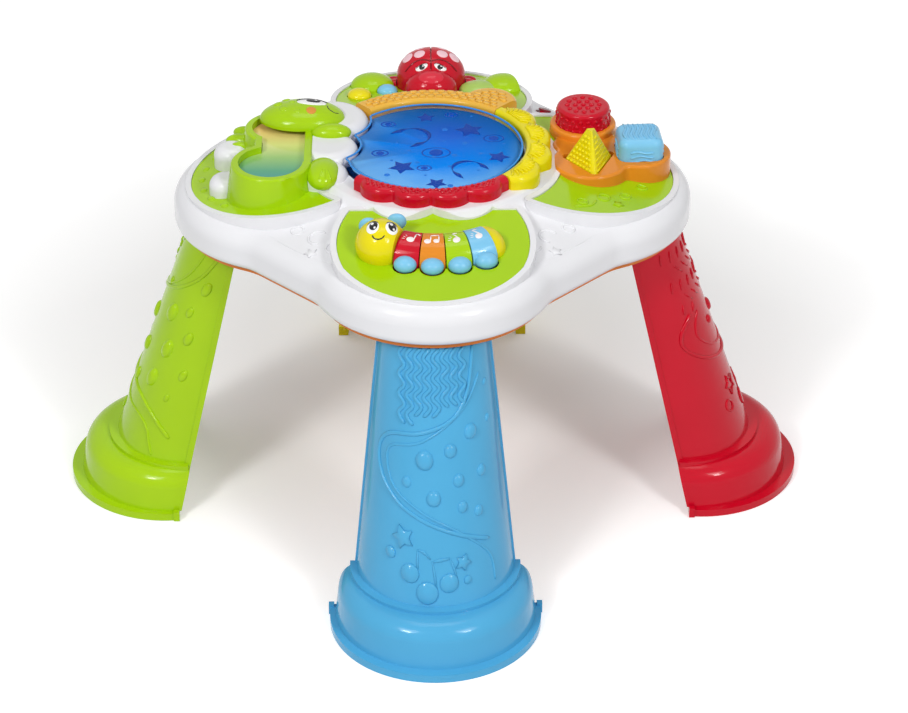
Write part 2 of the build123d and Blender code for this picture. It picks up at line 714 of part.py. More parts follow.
def drum_spring_places():
    return [polar(DISC_RADIUS, angle) for angle in DRUM_SPRING_ANGLES]


def spring(x, y, radius, low, top):
    return column(x, y, radius, low, top) - column(x, y, radius - SPRING_WIRE, low, top)


def cloud_bank(puffs):
    bank = Part()
    for x, y, radius, top in puffs:
        bank += puff(x, y, radius, CLOUD_LOW_Z, top, CLOUD_ROUND)
    return bank


def lens_plan():
    """Outline of the dinosaur's lit belly: a bowl, a chest and the neck between them."""
    plan = Pos(BOWL[0], BOWL[1]) * Circle(BOWL[2]) + Pos(CHEST[0], CHEST[1]) * Circle(CHEST[2])
    right = CHEST[0] + CHEST[2]
    neck = Pos((NECK_LEFT + right) / 2, (BOWL[1] + CHEST[1]) / 2) * Rectangle(right - NECK_LEFT, CHEST[1] - BOWL[1])
    return plan + neck


def dino_ring_solid():
    """Raised belly before it is hollowed, wider at its foot."""
    plan = offset(lens_plan(), RING_WALL, kind=Kind.ARC)
    ring = extrude(Pos(0, 0, RING_TOP_Z) * plan, RING_TOP_Z - SEAM_Z, dir=(0, 0, -1), taper=-RING_TAPER)
    return fillet(ring.edges().group_by(Axis.Z)[-1], RING_ROUND)


def dino_ring():
    """Raised wall round the lens, standing on the panel's floor."""
    ring = dino_ring_solid() & above(nose_frame("left"), -PANEL_THICK)
    seat_z = RING_TOP_Z - LENS_DEPTH - LENS_THICK
    ring -= prism(lens_plan(), seat_z, RING_TOP_Z + 1)
    return ring - prism(offset(lens_plan(), -SHELL_WALL, kind=Kind.ARC), SEAM_Z, RING_TOP_Z)


def dino_lens():
    low = RING_TOP_Z - LENS_DEPTH - LENS_THICK
    return prism(offset(lens_plan(), -FIT_GAP, kind=Kind.ARC), low, low + LENS_THICK)


def dino_frill():
    """Three plump fingers beside the belly."""
    frill = []
    for x, y, turn in FRILL_FINGERS:
        finger = Pos(x, y, FRILL_Z) * Rot(0, 0, turn) * scale(Sphere(1), by=FRILL_SIZE)
        frill.append(finger)
    return frill


def sorter_solid():
    """Sorter base before its wells: round lobes run together, the first one higher."""
    plan = make_face(Polyline(*[(x, y) for x, y, radius in SORTER_LOBES], close=True))
    for x, y, radius in SORTER_LOBES:
        plan += Pos(x, y) * Circle(radius)
    plan = offset(offset(plan, SORTER_CREASE, kind=Kind.ARC), -SORTER_CREASE, kind=Kind.ARC)
    solid = prism(plan, SEAM_Z, SORTER_TOP_Z)
    solid = fillet(solid.edges().group_by(Axis.Z)[-1], SORTER_ROUND)
    x, y, radius = SORTER_LOBES[0]
    return solid + puff(x, y, radius - SORTER_TIER_INSET, SEAM_Z, SORTER_TIER_Z, SORTER_ROUND)


def pyramid_plan(grow):
    """Rounded triangle of the pyramid block's base."""
    triangle = RegularPolygon(PYRAMID_RADIUS + 2 * grow, 3, rotation=PYRAMID_TURN)
    return fillet(triangle.vertices(), PYRAMID_CORNER)


def cube_plan(grow):
    side = CUBE_SIDE + 2 * grow
    square = fillet(Rectangle(side, side).vertices(), CUBE_CORNER)
    return Rot(0, 0, CUBE_TURN) * square


def sorter_base():
    """Sorter base with its three shaped wells, standing on the floor of the panel's window."""
    base = sorter_solid() & above(nose_frame("right"), -PANEL_THICK)
    base -= column(*CYLINDER_PLACE, CYLINDER_RADIUS + SORTER_SLACK, CYLINDER_SEAT_Z - FIT_GAP, PLATEAU_Z + BIG)
    base -= prism(Pos(*PYRAMID_PLACE) * pyramid_plan(SORTER_SLACK), PYRAMID_SEAT_Z - FIT_GAP, PLATEAU_Z + BIG)
    return base - prism(Pos(*CUBE_PLACE) * cube_plan(SORTER_SLACK), CUBE_SEAT_Z - FIT_GAP, PLATEAU_Z + BIG)


def block_cylinder():
    top = CYLINDER_SEAT_Z + CYLINDER_HEIGHT
    return puff(*CYLINDER_PLACE, CYLINDER_RADIUS, CYLINDER_SEAT_Z, top, BLOCK_ROUND)


def block_pyramid():
    """Three-sided pyramid with a blunt tip."""
    tip = RegularPolygon(PYRAMID_TIP_RADIUS, 3, rotation=PYRAMID_TURN)
    tip = fillet(tip.vertices(), PYRAMID_CORNER * PYRAMID_TIP_RADIUS / PYRAMID_RADIUS)
    low = Pos(*PYRAMID_PLACE, PYRAMID_SEAT_Z)
    return loft([low * pyramid_plan(0).face(), low * Pos(0, 0, PYRAMID_HEIGHT) * tip.face()])


def block_cube():
    cube = prism(Pos(*CUBE_PLACE) * cube_plan(0), CUBE_SEAT_Z, CUBE_SEAT_Z + CUBE_HEIGHT)
    return fillet(cube.edges().group_by(Axis.Z)[-1], 2 * BLOCK_ROUND)


def leg_cut_y(z):
    """Where a leg's open edges lie at a height, on the front nose."""
    return -LEG_FLOOR_REACH + (LEG_FLOOR_REACH - LEG_TOP_REACH) * z / TRAY_Z


def leg_size(z):
    """Half width and depth of a leg's section at a height."""
    share = z / TRAY_Z
    half = LEG_FLOOR_HALF + (LEG_TOP_HALF - LEG_FLOOR_HALF) * share
    return half, LEG_FLOOR_DEPTH + (LEG_TOP_DEPTH - LEG_FLOOR_DEPTH) * share


def bow(half, depth, z, back=0.0):
    """Bow-shaped section with its chord on a leg's cut plane, squared out behind it by a distance."""
    y = leg_cut_y(z)
    arc = ThreePointArc((-half, y), (0, y - depth), (half, y))
    chord = Line((half, y), (-half, y))
    if back:
        chord = Polyline((half, y), (half, y + back), (-half, y + back), (-half, y))
    return Pos(0, 0, z) * make_face([arc, chord])


def leg_loft(low, top, grow, back=0.0):
    """Tapering leg form between two heights, grown or shrunk by a wall."""
    sections = []
    for z in (low, top):
        half, depth = leg_size(z)
        sections.append(bow(half + grow, depth + grow, z, back).face())
    return loft(sections, ruled=True)


def leg_outside():
    """Front of the leg: everything beyond the sloping plane of its open edges."""
    lean = atan((LEG_FLOOR_REACH - LEG_TOP_REACH) / TRAY_Z)
    return Plane(origin=(0, -LEG_FLOOR_REACH, 0), x_dir=(1, 0, 0), z_dir=(0, -cos(lean), sin(lean)))


def tenon_plan(grow):
    """Half-round tongue at the top of a leg, in plan, thickened by a clearance."""
    inset = LEG_WALL + grow
    tongue = bow(LEG_TOP_HALF - TENON_INSET + grow, LEG_TOP_DEPTH - TENON_INSET + grow, TRAY_Z, grow)
    hollow = bow(LEG_TOP_HALF - inset, LEG_TOP_DEPTH - inset, TRAY_Z, grow + 1)
    return Pos(0, 0, -TRAY_Z) * (tongue - hollow)


def leg():
    """Leg on the front nose: half-round shell, thick edges, collar, foot, floor flange and tongue."""
    hidden_z = FOOT_TOP_Z - LEG_WALL
    shell = leg_loft(hidden_z, TRAY_Z, 0)
    edge = leg_loft(hidden_z, TRAY_Z, LEG_EDGE) & half_space(leg_outside(), LEG_EDGE_BAND, Align.MAX)
    foot = loft([
        bow(FOOT_LOW_HALF, FOOT_LOW_DEPTH, FLANGE_THICK).face(),
        bow(FOOT_TOP_HALF, FOOT_TOP_DEPTH, FOOT_TOP_Z).face(),
    ], ruled=True)
    rim = foot.edges().group_by(Axis.Z)[-1].filter_by(GeomType.LINE, reverse=True)
    foot = fillet(rim, FOOT_ROUND)
    half, depth = leg_size(FOOT_TOP_Z)
    collar = bow(half + COLLAR_GROW, depth + COLLAR_GROW, FOOT_TOP_Z - COLLAR_DROP)
    flange = bow(FLANGE_HALF, FLANGE_DEPTH, 0)
    body = shell + edge + foot + extrude(collar, COLLAR_DROP + COLLAR_RISE, dir=(0, 0, 1))
    body += extrude(flange, FLANGE_THICK, dir=(0, 0, 1))
    for side in (-1, 1):
        tab_x = FLANGE_HALF + (EAR_TAB[0] - LEG_WALL) / 2
        tab = Pos(side * tab_x, leg_cut_y(0) - EAR_TAB[1] / 2, EAR_TAB[2] / 2)
        body += tab * Box(EAR_TAB[0] + LEG_WALL, EAR_TAB[1], EAR_TAB[2])
    body -= leg_loft(hidden_z - 1, TRAY_Z + 1, -LEG_WALL, back=LEG_WALL)
    hollow = loft([
        bow(FOOT_LOW_HALF - LEG_WALL, FOOT_LOW_DEPTH - LEG_WALL, -1, LEG_WALL).face(),
        bow(FOOT_TOP_HALF - LEG_WALL, FOOT_TOP_DEPTH - LEG_WALL, FOOT_TOP_Z - FOOT_ROUND, LEG_WALL).face(),
    ], ruled=True)
    roof_inset = FOOT_ROUND + LEG_WALL
    hollow += loft([
        bow(FOOT_TOP_HALF - LEG_WALL, FOOT_TOP_DEPTH - LEG_WALL, FOOT_TOP_Z - FOOT_ROUND, LEG_WALL).face(),
        bow(FOOT_TOP_HALF - roof_inset, FOOT_TOP_DEPTH - roof_inset, hidden_z, LEG_WALL).face(),
    ], ruled=True)
    body -= hollow
    body &= half_space(leg_outside(), 0, Align.MIN)
    return body + prism(tenon_plan(0), TRAY_Z - 1, TRAY_Z + TENON_LENGTH)


def leg_socket():
    """Slot for a leg's tongue in the tray, with the walls round it."""
    outer = bow(LEG_TOP_HALF + SOCKET_WALL, LEG_TOP_DEPTH + SOCKET_WALL, TRAY_Z, SOCKET_WALL)
    inner = bow(LEG_TOP_HALF - LEG_WALL - SOCKET_WALL, LEG_TOP_DEPTH - LEG_WALL - SOCKET_WALL, TRAY_Z, SOCKET_WALL + 1)
    plan = Pos(0, 0, -TRAY_Z) * (outer - inner)
    plan &= lobed_plan(RIM_BULGE - RIM_LOW_ROUND - SHELL_WALL - FIT_GAP)
    return prism(plan, TRAY_Z, TRAY_Z + TENON_LENGTH + SOCKET_WALL)


def disc_lights():
    """Lamps that stand on the main board under the disc."""
    top = MAIN_BOARD_Z + BOARD_THICK
    lamps = []
    for side in (-1, 1):
        for end in (-1, 1):
            lamps.append(column(side * LED_OFFSET, end * LED_OFFSET, LED_RADIUS, top, top + LED_HEIGHT))
    return lamps


def screw_places():
    return [polar(SCREW_REACH, angle) for angle in SCREW_ANGLES]


def battery_box():
    """Walls and roof of the battery box, open downwards."""
    wall = block(0, 0, BOX_WIDTH + 2 * BOX_WALL, BOX_LENGTH + 2 * BOX_WALL, TRAY_Z, BOX_TOP_Z + BOX_WALL)
    return wall - block(0, 0, BOX_WIDTH, BOX_LENGTH, TRAY_Z, BOX_TOP_Z)


def batteries():
    cells = []
    for index in range(CELL_COUNT):
        x = (index - (CELL_COUNT - 1) / 2) * CELL_PITCH
        place = Pos(x, 0, TRAY_Z + DOOR_THICK + CELL_RADIUS + FIT_GAP)
        cells.append(place * Rot(90, 0, 0) * Cylinder(CELL_RADIUS, CELL_LENGTH))
    return cells


def battery_contacts():
    """Metal plates at both ends of the cells."""
    plates = []
    for side in (-1, 1):
        y = side * (BOX_LENGTH / 2 - CONTACT_THICK / 2)
        plates.append(block(0, y, BOX_WIDTH - 1, CONTACT_THICK, TRAY_Z + DOOR_THICK + 1, BOX_TOP_Z - 1))
    return plates


def bottom_tray():
    """Tray that closes the table top from below and carries the legs and the batteries."""
    inner = RIM_BULGE - RIM_LOW_ROUND - SHELL_WALL - FIT_GAP
    tray = prism(lobed_plan(RIM_BULGE - RIM_LOW_ROUND), TRAY_Z, SEAM_Z)
    tray += prism(lobed_plan(inner), SEAM_Z, SEAM_Z + TRAY_LIP)
    tray -= prism(lobed_plan(inner - TRAY_LIP_WALL), TRAY_INSIDE_Z, SEAM_Z + TRAY_LIP)
    for nose in NOSE_TURN:
        tray += on_nose(leg_socket(), nose)
    posts = board_posts(KEY_BOARD, BOARD_Z) + board_posts(BACK_BOARD, BOARD_Z)
    for post in posts + board_posts(MAIN_BOARD, MAIN_BOARD_Z):
        tray += post
    for x, y in drum_spring_places():
        tray += column(x, y, POST_RADIUS, TRAY_Z, LIP_TOP_Z - DISC_LIP_THICK - DRUM_SPRING_LENGTH)
    spring_z = ladybird_lip_z() - LADYBIRD_LIP_THICK - LADYBIRD_SPRING_LENGTH
    tray += column(0, LADYBIRD_POST_Y, LADYBIRD_SPRING_RADIUS + 1, TRAY_Z, spring_z)
    for x, y in screw_places():
        tray += column(x, y, SCREW_BOSS_RADIUS, TRAY_Z, SEAM_Z + TRAY_LIP)
    tray += battery_box()
    for nose in NOSE_TURN:
        slot = prism(tenon_plan(FIT_GAP), TRAY_Z, TRAY_Z + TENON_LENGTH + FIT_GAP)
        tray -= on_nose(slot, nose)
    tray -= block(0, 0, BOX_WIDTH, BOX_LENGTH, TRAY_Z - 1, BOX_TOP_Z)
    for x, y in screw_places():
        tray -= column(x, y, SCREW_RADIUS, TRAY_Z, SEAM_Z + TRAY_LIP)
        tray -= column(x, y, SCREW_HEAD_RADIUS, TRAY_Z, TRAY_Z + SCREW_HEAD)
    for spot in HexLocations(GRILLE_PITCH / 2, GRILLE_COUNT, GRILLE_COUNT):
        tray -= spot * column(*SPEAKER_PLACE, GRILLE_HOLE, TRAY_Z, TRAY_INSIDE_Z)
    return tray


def battery_door():
    return block(0, 0, BOX_WIDTH - 2 * FIT_GAP, BOX_LENGTH - 2 * FIT_GAP, TRAY_Z, TRAY_Z + DOOR_THICK)


def speaker():
    x, y = SPEAKER_PLACE
    frame = column(x, y, SPEAKER_RADIUS, TRAY_INSIDE_Z, TRAY_INSIDE_Z + SPEAKER_HEIGHT / 3)
    return frame + column(x, y, SPEAKER_RADIUS * 0.6, TRAY_INSIDE_Z, TRAY_INSIDE_Z + SPEAKER_HEIGHT)


def case_screws():
    """Screws from below that hold the table top on the tray."""
    screws = []
    for x, y in screw_places():
        head = column(x, y, SCREW_HEAD_RADIUS - FIT_GAP, TRAY_Z, TRAY_Z + SCREW_HEAD)
        screws.append(head + column(x, y, SCREW_RADIUS, TRAY_Z, TRAY_Z + SCREW_LENGTH))
    return screws


def switch_frame():
    """Plane on the sloping valley with X along the switch's travel."""
    x, y = SWITCH_PLACE
    reach = sqrt(x * x + y * y)
    lean = valley_fall() / reach
    return Plane(origin=(x, y, valley_z(reach)), x_dir=(-y, x, 0), z_dir=(x * lean, y * lean, 1))


def oval(size, low, high):
    return switch_frame().location * Pos(0, 0, low) * extrude(SlotOverall(*size), high - low)


def switch_slider():
    """Red knob in an oval slot, with the plate that keeps it in."""
    plate_top = -SHELL_WALL - SWITCH_GAP
    return oval(SWITCH_KNOB, plate_top - 1, SWITCH_RISE) + oval(
        SWITCH_PLATE, plate_top - SWITCH_PLATE_THICK, plate_top
    )


def pin_brackets():
    """Lugs under the front panel's floor that hold the key pin's ends."""
    first, last = pin_span()
    low = -PIN_DEPTH - PIN_EYE_RADIUS
    top = -PANEL_THICK - SHELL_WALL / 2
    lugs = Part()
    for x in (first + PIN_BRACKET / 2, last - PIN_BRACKET / 2):
        lugs += Pos(x, PIN_UP, (low + top) / 2) * Box(PIN_BRACKET, 2 * PIN_EYE_RADIUS, top - low)
    return PANEL_FRAME.location * lugs


def table_form(depth):
    """Table top before it is hollowed, with a bead round each panel and its pocket cut to a depth."""
    form = rim_slab(0) + dome(0)
    for nose in NOSE_TURN:
        form += panel_slab(nose, BEAD_WIDTH, -BIG / 4, BEAD_HEIGHT)
    for nose in NOSE_TURN:
        form -= panel_slab(nose, FIT_GAP, -depth, 3 * FLOOR_DEPTH)
    return form


def top_shell(form):
    """White table top: the hollowed form with floors under the panels, windows, lugs and screw posts."""
    inside = rim_slab(SHELL_WALL) + dome(SHELL_WALL)
    inside += prism(lobed_plan(RIM_BULGE - RIM_LOW_ROUND - SHELL_WALL), SEAM_Z - 1, SEAM_Z + 2 * SHELL_WALL)
    for nose in NOSE_TURN:
        inside += panel_slab(nose, BEAD_WIDTH - SHELL_WALL, -BIG / 4, -FLOOR_DEPTH)
        inside -= panel_slab(nose, BEAD_WIDTH, -FLOOR_DEPTH, FLOOR_DEPTH)
    shell = form - inside + pin_brackets()
    for x, y in screw_places():
        shell += column(x, y, SCREW_BOSS_RADIUS, SEAM_Z + TRAY_LIP, valley_z(SCREW_REACH) - SHELL_WALL / 2)
        shell -= column(x, y, SCREW_RADIUS, SEAM_Z, TRAY_Z + SCREW_LENGTH)
    shell -= prism(disc_plan(DISC_GAP), SEAM_Z, PLATEAU_Z + 1)
    shell -= key_plan_tool(KEY_WINDOW_GAP)
    shell -= key_pin(PIN_RADIUS, *pin_span())
    shell -= back_windows()
    return shell - oval(SWITCH_SLOT, -2 * SHELL_WALL, SHELL_WALL)


def panels():
    """The four green panels with their windows."""
    slabs = {nose: panel_slab(nose, 0, -PANEL_THICK, 0) for nose in NOSE_TURN}
    slabs["front"] -= key_plan_tool(KEY_WINDOW_GAP)
    slabs["back"] += hills()
    slabs["back"] -= back_windows()
    slabs["right"] -= sorter_solid()
    slabs["left"] -= dino_ring_solid()
    return {"panel_" + nose: slab for nose, slab in slabs.items()}


def springs():
    """Springs of the drum disc."""
    low = LIP_TOP_Z - DISC_LIP_THICK - DRUM_SPRING_LENGTH
    coils = []
    for x, y in drum_spring_places():
        coils.append(spring(x, y, DRUM_SPRING_RADIUS, low, low + DRUM_SPRING_LENGTH))
    return coils


def ladybird_spring():
    top = ladybird_lip_z() - LADYBIRD_LIP_THICK
    return spring(0, LADYBIRD_POST_Y, LADYBIRD_SPRING_RADIUS, top - LADYBIRD_SPRING_LENGTH, top)


def rubber_pads():
    """Pads under the plungers of the keys and of the two back buttons."""
    keys = [pad(*plunger_place(index)[:2]) for index in range(len(KEY_COLOURS))]
    buttons = [pad(x, y) for x, y, width, length in (YELLOW_BUTTON, BLUE_BUTTON)]
    return {"key_pads": keys, "back_pads": buttons}


def keys():
    nodes = {}
    for index, colour in enumerate(KEY_COLOURS):
        nodes["key_" + colour] = key_body(index)
        nodes["foot_" + colour] = key_foot(index)
    return nodes


def bug_still_parts():
    return {
        "bug_head": bug_head(),
        "bug_ears": bug_ears(),
        "bug_tail": bug_tail(),
        "key_pin": key_pin(PIN_RADIUS, *pin_span()),
        "key_board": board(KEY_BOARD, BOARD_Z),
    }


def dinosaur(seat, flush):
    """Dinosaur light and the clouds it lies on, each cut to sit on what is below it."""
    belly = dino_ring_solid()
    head = ellipsoid(DINO_HEAD_SIZE, DINO_HEAD_PLACE) - belly
    arm = ellipsoid(DINO_ARM_SIZE, DINO_ARM_PLACE) - belly - head
    foot = ellipsoid(DINO_FOOT_SIZE, DINO_FOOT_PLACE, 0) - belly - flush
    frill = [finger - belly - head - flush for finger in dino_frill()]
    bank = cloud_bank(INNER_CLOUDS) + cloud_bank(OUTER_CLOUDS) - flush - belly - head - arm - foot
    for finger in frill:
        bank -= finger
    return {
        "dino_body": dino_ring() - seat,
        "dino_lens": dino_lens(),
        "dino_head": head,
        "dino_arm": arm,
        "dino_foot": foot,
        "dino_frill": frill,
        "clouds": bank,
    }


def arches(flush):
    return {
        "arch_red": arch(RED_BAND, RED_SCALLOPS) - flush,
        "arch_yellow": arch(YELLOW_BAND, YELLOW_SCALLOPS) - flush,
        "arch_orange": arch(ORANGE_BAND, ORANGE_SCALLOPS) - flush,
    }


def back_panel_parts():
    return {
        "ladybird_body": ladybird_body(),
        "ladybird_wing_left": ladybird_wing(1),
        "ladybird_wing_right": ladybird_wing(-1),
        "ladybird_legs": ladybird_legs(),
        "ladybird_spring": ladybird_spring(),
        "button_yellow": button(YELLOW_BUTTON),
        "button_blue": button(BLUE_BUTTON),
        "back_board": board(BACK_BOARD, BOARD_Z),
        "glow_bush": glow_bush(),
    }


def drum_parts():
    return {
        "drum_disc": drum_disc(),
        "drum_print": drum_print(),
        "drum_springs": springs(),
        "main_board": board(MAIN_BOARD, MAIN_BOARD_Z),
        "disc_lights": disc_lights(),
    }


def sorter_parts(seat):
    return {
        "sorter_base": sorter_base() - seat,
        "block_cylinder": block_cylinder(),
        "block_pyramid": block_pyramid(),
        "block_cube": block_cube(),
    }


def tray_parts():
    return {
        "bottom_tray": bottom_tray(),
        "battery_door": battery_door(),
        "batteries": batteries(),
        "battery_contacts": battery_contacts(),
        "speaker": speaker(),
        "case_screws": case_screws(),
        "switch_slider": switch_slider(),
    }


def legs():
    front = leg()
    return {"leg_" + nose: on_nose(front, nose) for nose in NOSE_TURN}


def main():
    seat = table_form(PANEL_THICK)
    flush = table_form(0)
    nodes = {"top_shell": top_shell(seat)}
    for group in (panels(), keys(), bug_still_parts(), dinosaur(seat, flush), arches(flush)):
        nodes.update(group)
    for group in (back_panel_parts(), drum_parts(), sorter_parts(seat), tray_parts(), legs(), rubber_pads()):
        nodes.update(group)
    os.makedirs("parts", exist_ok=True)
    for name, shape in nodes.items():
        solid = Compound(children=shape) if isinstance(shape, list) else shape
        export_step(solid, "parts/" + name + ".step")


main()
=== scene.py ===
import json
from math import acos, atan, cos, pi, radians, sin, sqrt

import bmesh
import bpy
from mathutils import Matrix, Vector

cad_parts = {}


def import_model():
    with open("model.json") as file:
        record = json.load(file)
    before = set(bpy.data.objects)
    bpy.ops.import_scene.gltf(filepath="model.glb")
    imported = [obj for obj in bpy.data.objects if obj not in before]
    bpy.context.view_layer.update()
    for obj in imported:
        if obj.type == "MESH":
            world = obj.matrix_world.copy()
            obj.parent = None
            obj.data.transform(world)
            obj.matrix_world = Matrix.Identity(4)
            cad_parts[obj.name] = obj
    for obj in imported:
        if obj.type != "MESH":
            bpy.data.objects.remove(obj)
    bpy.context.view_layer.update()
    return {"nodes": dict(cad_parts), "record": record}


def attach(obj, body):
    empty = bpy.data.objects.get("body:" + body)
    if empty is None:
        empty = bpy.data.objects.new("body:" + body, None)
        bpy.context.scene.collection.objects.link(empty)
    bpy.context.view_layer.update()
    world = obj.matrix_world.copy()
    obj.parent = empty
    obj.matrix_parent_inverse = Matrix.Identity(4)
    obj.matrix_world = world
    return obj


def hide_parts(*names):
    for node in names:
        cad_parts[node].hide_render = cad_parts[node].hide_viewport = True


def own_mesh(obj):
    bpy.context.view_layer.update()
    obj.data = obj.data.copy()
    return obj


# Dimensions in millimetres and degrees, as the model has them
MM = 0.001
TABLE_BODY = "table"
TRAY_Z = 296.0
RIM_TOP_Z = 341.5
ARCH_Z = 384.0

# Legs at the floor and at the tray: reach of the back edge, half of the width, and depth
LEG_FLOOR = (263.0, 83.0, 87.4)
LEG_TOP = (194.0, 52.0, 52.0)

# Panels: reach and height of the nose end, and the slope up from it
PANEL_REACH = 242.0
PANEL_Z = 341.0
SLOPE = atan(0.168)

# White slopes between the panels: reach of the rim, and rise towards the middle
VALLEY_REACH = 195.0
VALLEY_RISE = 15.5 / 65.0

# Piano: middle of its bend on the panel, radius of the bend, half round of a key, and angles of the keys
CURL = (3.0, 180.5)
KEY_MIDDLE = 108.0
KEY_HALF = 22.0
KEY_HEIGHT = 18.0
KEY_PITCH = 11.5
KEY_FIRST = 19.0

# Drum: heights of the printed sheet, its drawings and the rim, and the clouds that bite into the disc
SHEET_Z = 375.6
PRINT_Z = 376.1
DRUM_RIM_Z = 380.0
CLOUDS = ((-102, 57, 38.0), (-104.5, 3, 31.0), (-106, -42, 23.0))

# Loose blocks
CYLINDER_MIDDLE = (154, 66)
CYLINDER_RADIUS = 27.0
CYLINDER_TOP_Z = 391.0
PYRAMID_MIDDLE = (158, -6)
CUBE_MIDDLE = (208, 14)
CUBE_HALF = 22.5
CUBE_TOP_Z = 387.0
CUBE_TURN = 4

# Volume switch: middle, and the way it slides
SWITCH_MIDDLE = (118.0, 138.0, 0.0)
SWITCH_WAY = (-0.76, 0.65, 0.0)
SWITCH_ACROSS = (0.65, 0.76, 0.0)

# Heads and paw as stretched balls: middle and radii
BUG_HEAD = ((-50, -165.3, 361.0), (25.0, 25.0, 25.0))
LADYBIRD = ((0, 196, 361), (36.0, 31.0, 29.0))
SNOUT = ((0, 168, 359), (27.0, 20.0, 20.0))
DINO_HEAD = ((-131, 52, 385), (43.0, 28.0, 17.0))
DINO_PAW = ((-108, -45, 373), (17.0, 25.0, 13.0))

# How deep a raised mark starts under its surface
SINK = 0.4

# Camera fitted to the photograph: place in metres, lengths in its pixels, angles in radians
CAMERA_PLACE = (0.0, -2.82502, 1.86993)
FOCAL_PIXELS = 3190.9
PHOTO_WIDTH = 908.0
MIDDLE_COLUMN = 433.16
PITCH = 0.55134
ROLL = 0.00523
YAW = -0.00399
SENSOR_WIDTH = 36.0

# Colours as they read in daylight
WHITE = (233, 233, 236)
LIME = (170, 212, 8)
RED = (205, 3, 34)
BLUE = (80, 174, 222)
YELLOW = (238, 222, 8)
ORANGE = (232, 140, 34)
PALE_ORANGE = (240, 184, 66)
TRAY_ORANGE = (214, 118, 46)
PALE_BLUE = (128, 200, 238)
INK = (20, 20, 24)


def add_object(name, data):
    """New object in the scene."""
    thing = bpy.data.objects.new(name, data)
    bpy.context.scene.collection.objects.link(thing)
    return thing


def linear(colour):
    """Screen colour from 0 to 255 as the renderer's linear colour."""
    out = []
    for value in colour:
        share = value / 255
        out.append(share / 12.92 if share <= 0.04045 else ((share + 0.055) / 1.055) ** 2.4)
    return (*out, 1.0)


def mixed(colour, other, share):
    """Colour a share of the way to another."""
    return tuple(a + (b - a) * share for a, b in zip(colour, other))


def new_material(name):
    """New material, its nodes and its links."""
    material = bpy.data.materials.new(name)
    material.use_nodes = True
    return material, material.node_tree.nodes, material.node_tree.links


def add_node(nodes, kind, **inputs):
    """New shader node of a kind, with values for some of its inputs."""
    node = nodes.new("ShaderNode" + kind)
    for name, value in inputs.items():
        node.inputs[name.replace("_", " ")].default_value = value
    return node


def plastic(name, colour, roughness=0.14, coat=0.1, shine=0.16, grain=0.03, mottle=0.05):
    """Moulded plastic: faint flow marks in the colour, a fine skin in the bump, and a glossy coat."""
    material, nodes, links = new_material(name)
    shader = nodes["Principled BSDF"]
    coords = nodes.new("ShaderNodeTexCoord")
    flow = add_node(nodes, "TexNoise", Scale=14, Detail=3)
    tint = nodes.new("ShaderNodeMix")
    tint.data_type = "RGBA"
    tint.inputs["A"].default_value = linear(mixed(colour, (0, 0, 0), mottle))
    tint.inputs["B"].default_value = linear(mixed(colour, (255, 255, 255), mottle * 0.6))
    links.new(coords.outputs["Object"], flow.inputs["Vector"])
    links.new(flow.outputs["Fac"], tint.inputs["Factor"])
    links.new(tint.outputs["Result"], shader.inputs["Base Color"])
    skin = add_node(nodes, "TexNoise", Scale=420, Detail=2)
    bump = add_node(nodes, "Bump", Strength=grain, Distance=0.0004)
    links.new(coords.outputs["Object"], skin.inputs["Vector"])
    links.new(skin.outputs["Fac"], bump.inputs["Height"])
    links.new(bump.outputs["Normal"], shader.inputs["Normal"])
    gloss = add_node(nodes, "MapRange", To_Min=roughness - 0.03, To_Max=roughness + 0.05)
    links.new(flow.outputs["Fac"], gloss.inputs["Value"])
    links.new(gloss.outputs["Result"], shader.inputs["Roughness"])
    shader.inputs["Specular IOR Level"].default_value = shine
    shader.inputs["Coat Weight"].default_value = coat
    shader.inputs["Coat Roughness"].default_value = 0.04
    return material


def clear_plastic(name, colour, alpha):
    """See-through plastic."""
    material = plastic(name, colour, roughness=0.08, coat=0.1, shine=0.25, grain=0.02, mottle=0.02)
    material.node_tree.nodes["Principled BSDF"].inputs["Alpha"].default_value = alpha
    return material


def steel(name):
    """Drawn steel with fine lines round it."""
    material, nodes, links = new_material(name)
    shader = nodes["Principled BSDF"]
    shader.inputs["Metallic"].default_value = 1.0
    coords = nodes.new("ShaderNodeTexCoord")
    lines = add_node(nodes, "TexWave", Scale=900, Distortion=1.5)
    lines.bands_direction = "Z"
    shade = add_node(nodes, "MapRange", To_Min=0.25, To_Max=0.42)
    links.new(coords.outputs["Object"], lines.inputs["Vector"])
    links.new(lines.outputs["Fac"], shade.inputs["Value"])
    links.new(shade.outputs["Result"], shader.inputs["Roughness"])
    shader.inputs["Base Color"].default_value = linear((190, 190, 194))
    return material


def lens_plastic(name):
    """Frosted lens that runs from orange at the back through yellow-green to teal at the front."""
    material = plastic(name, YELLOW, roughness=0.3, coat=0.5, grain=0.1)
    nodes = material.node_tree.nodes
    links = material.node_tree.links
    shader = nodes["Principled BSDF"]
    coords = nodes.new("ShaderNodeTexCoord")
    split = nodes.new("ShaderNodeSeparateXYZ")
    place = add_node(nodes, "MapRange", From_Min=-0.071, From_Max=0.058)
    ramp = nodes.new("ShaderNodeValToRGB")
    stops = [
        (0.0, (34, 140, 150)),
        (0.2, (70, 160, 120)),
        (0.42, (150, 195, 105)),
        (0.62, (222, 226, 140)),
        (0.8, (240, 214, 130)),
        (1.0, (238, 176, 110)),
    ]
    ramp.color_ramp.elements.remove(ramp.color_ramp.elements[0])
    for index, (spot, colour) in enumerate(stops):
        element = ramp.color_ramp.elements[0] if index == 0 else ramp.color_ramp.elements.new(spot)
        element.position = spot
        element.color = linear(colour)
    links.new(coords.outputs["Object"], split.inputs["Vector"])
    links.new(split.outputs["Y"], place.inputs["Value"])
    links.new(place.outputs["Result"], ramp.inputs["Fac"])
    links.new(ramp.outputs["Color"], shader.inputs["Base Color"])
    return material


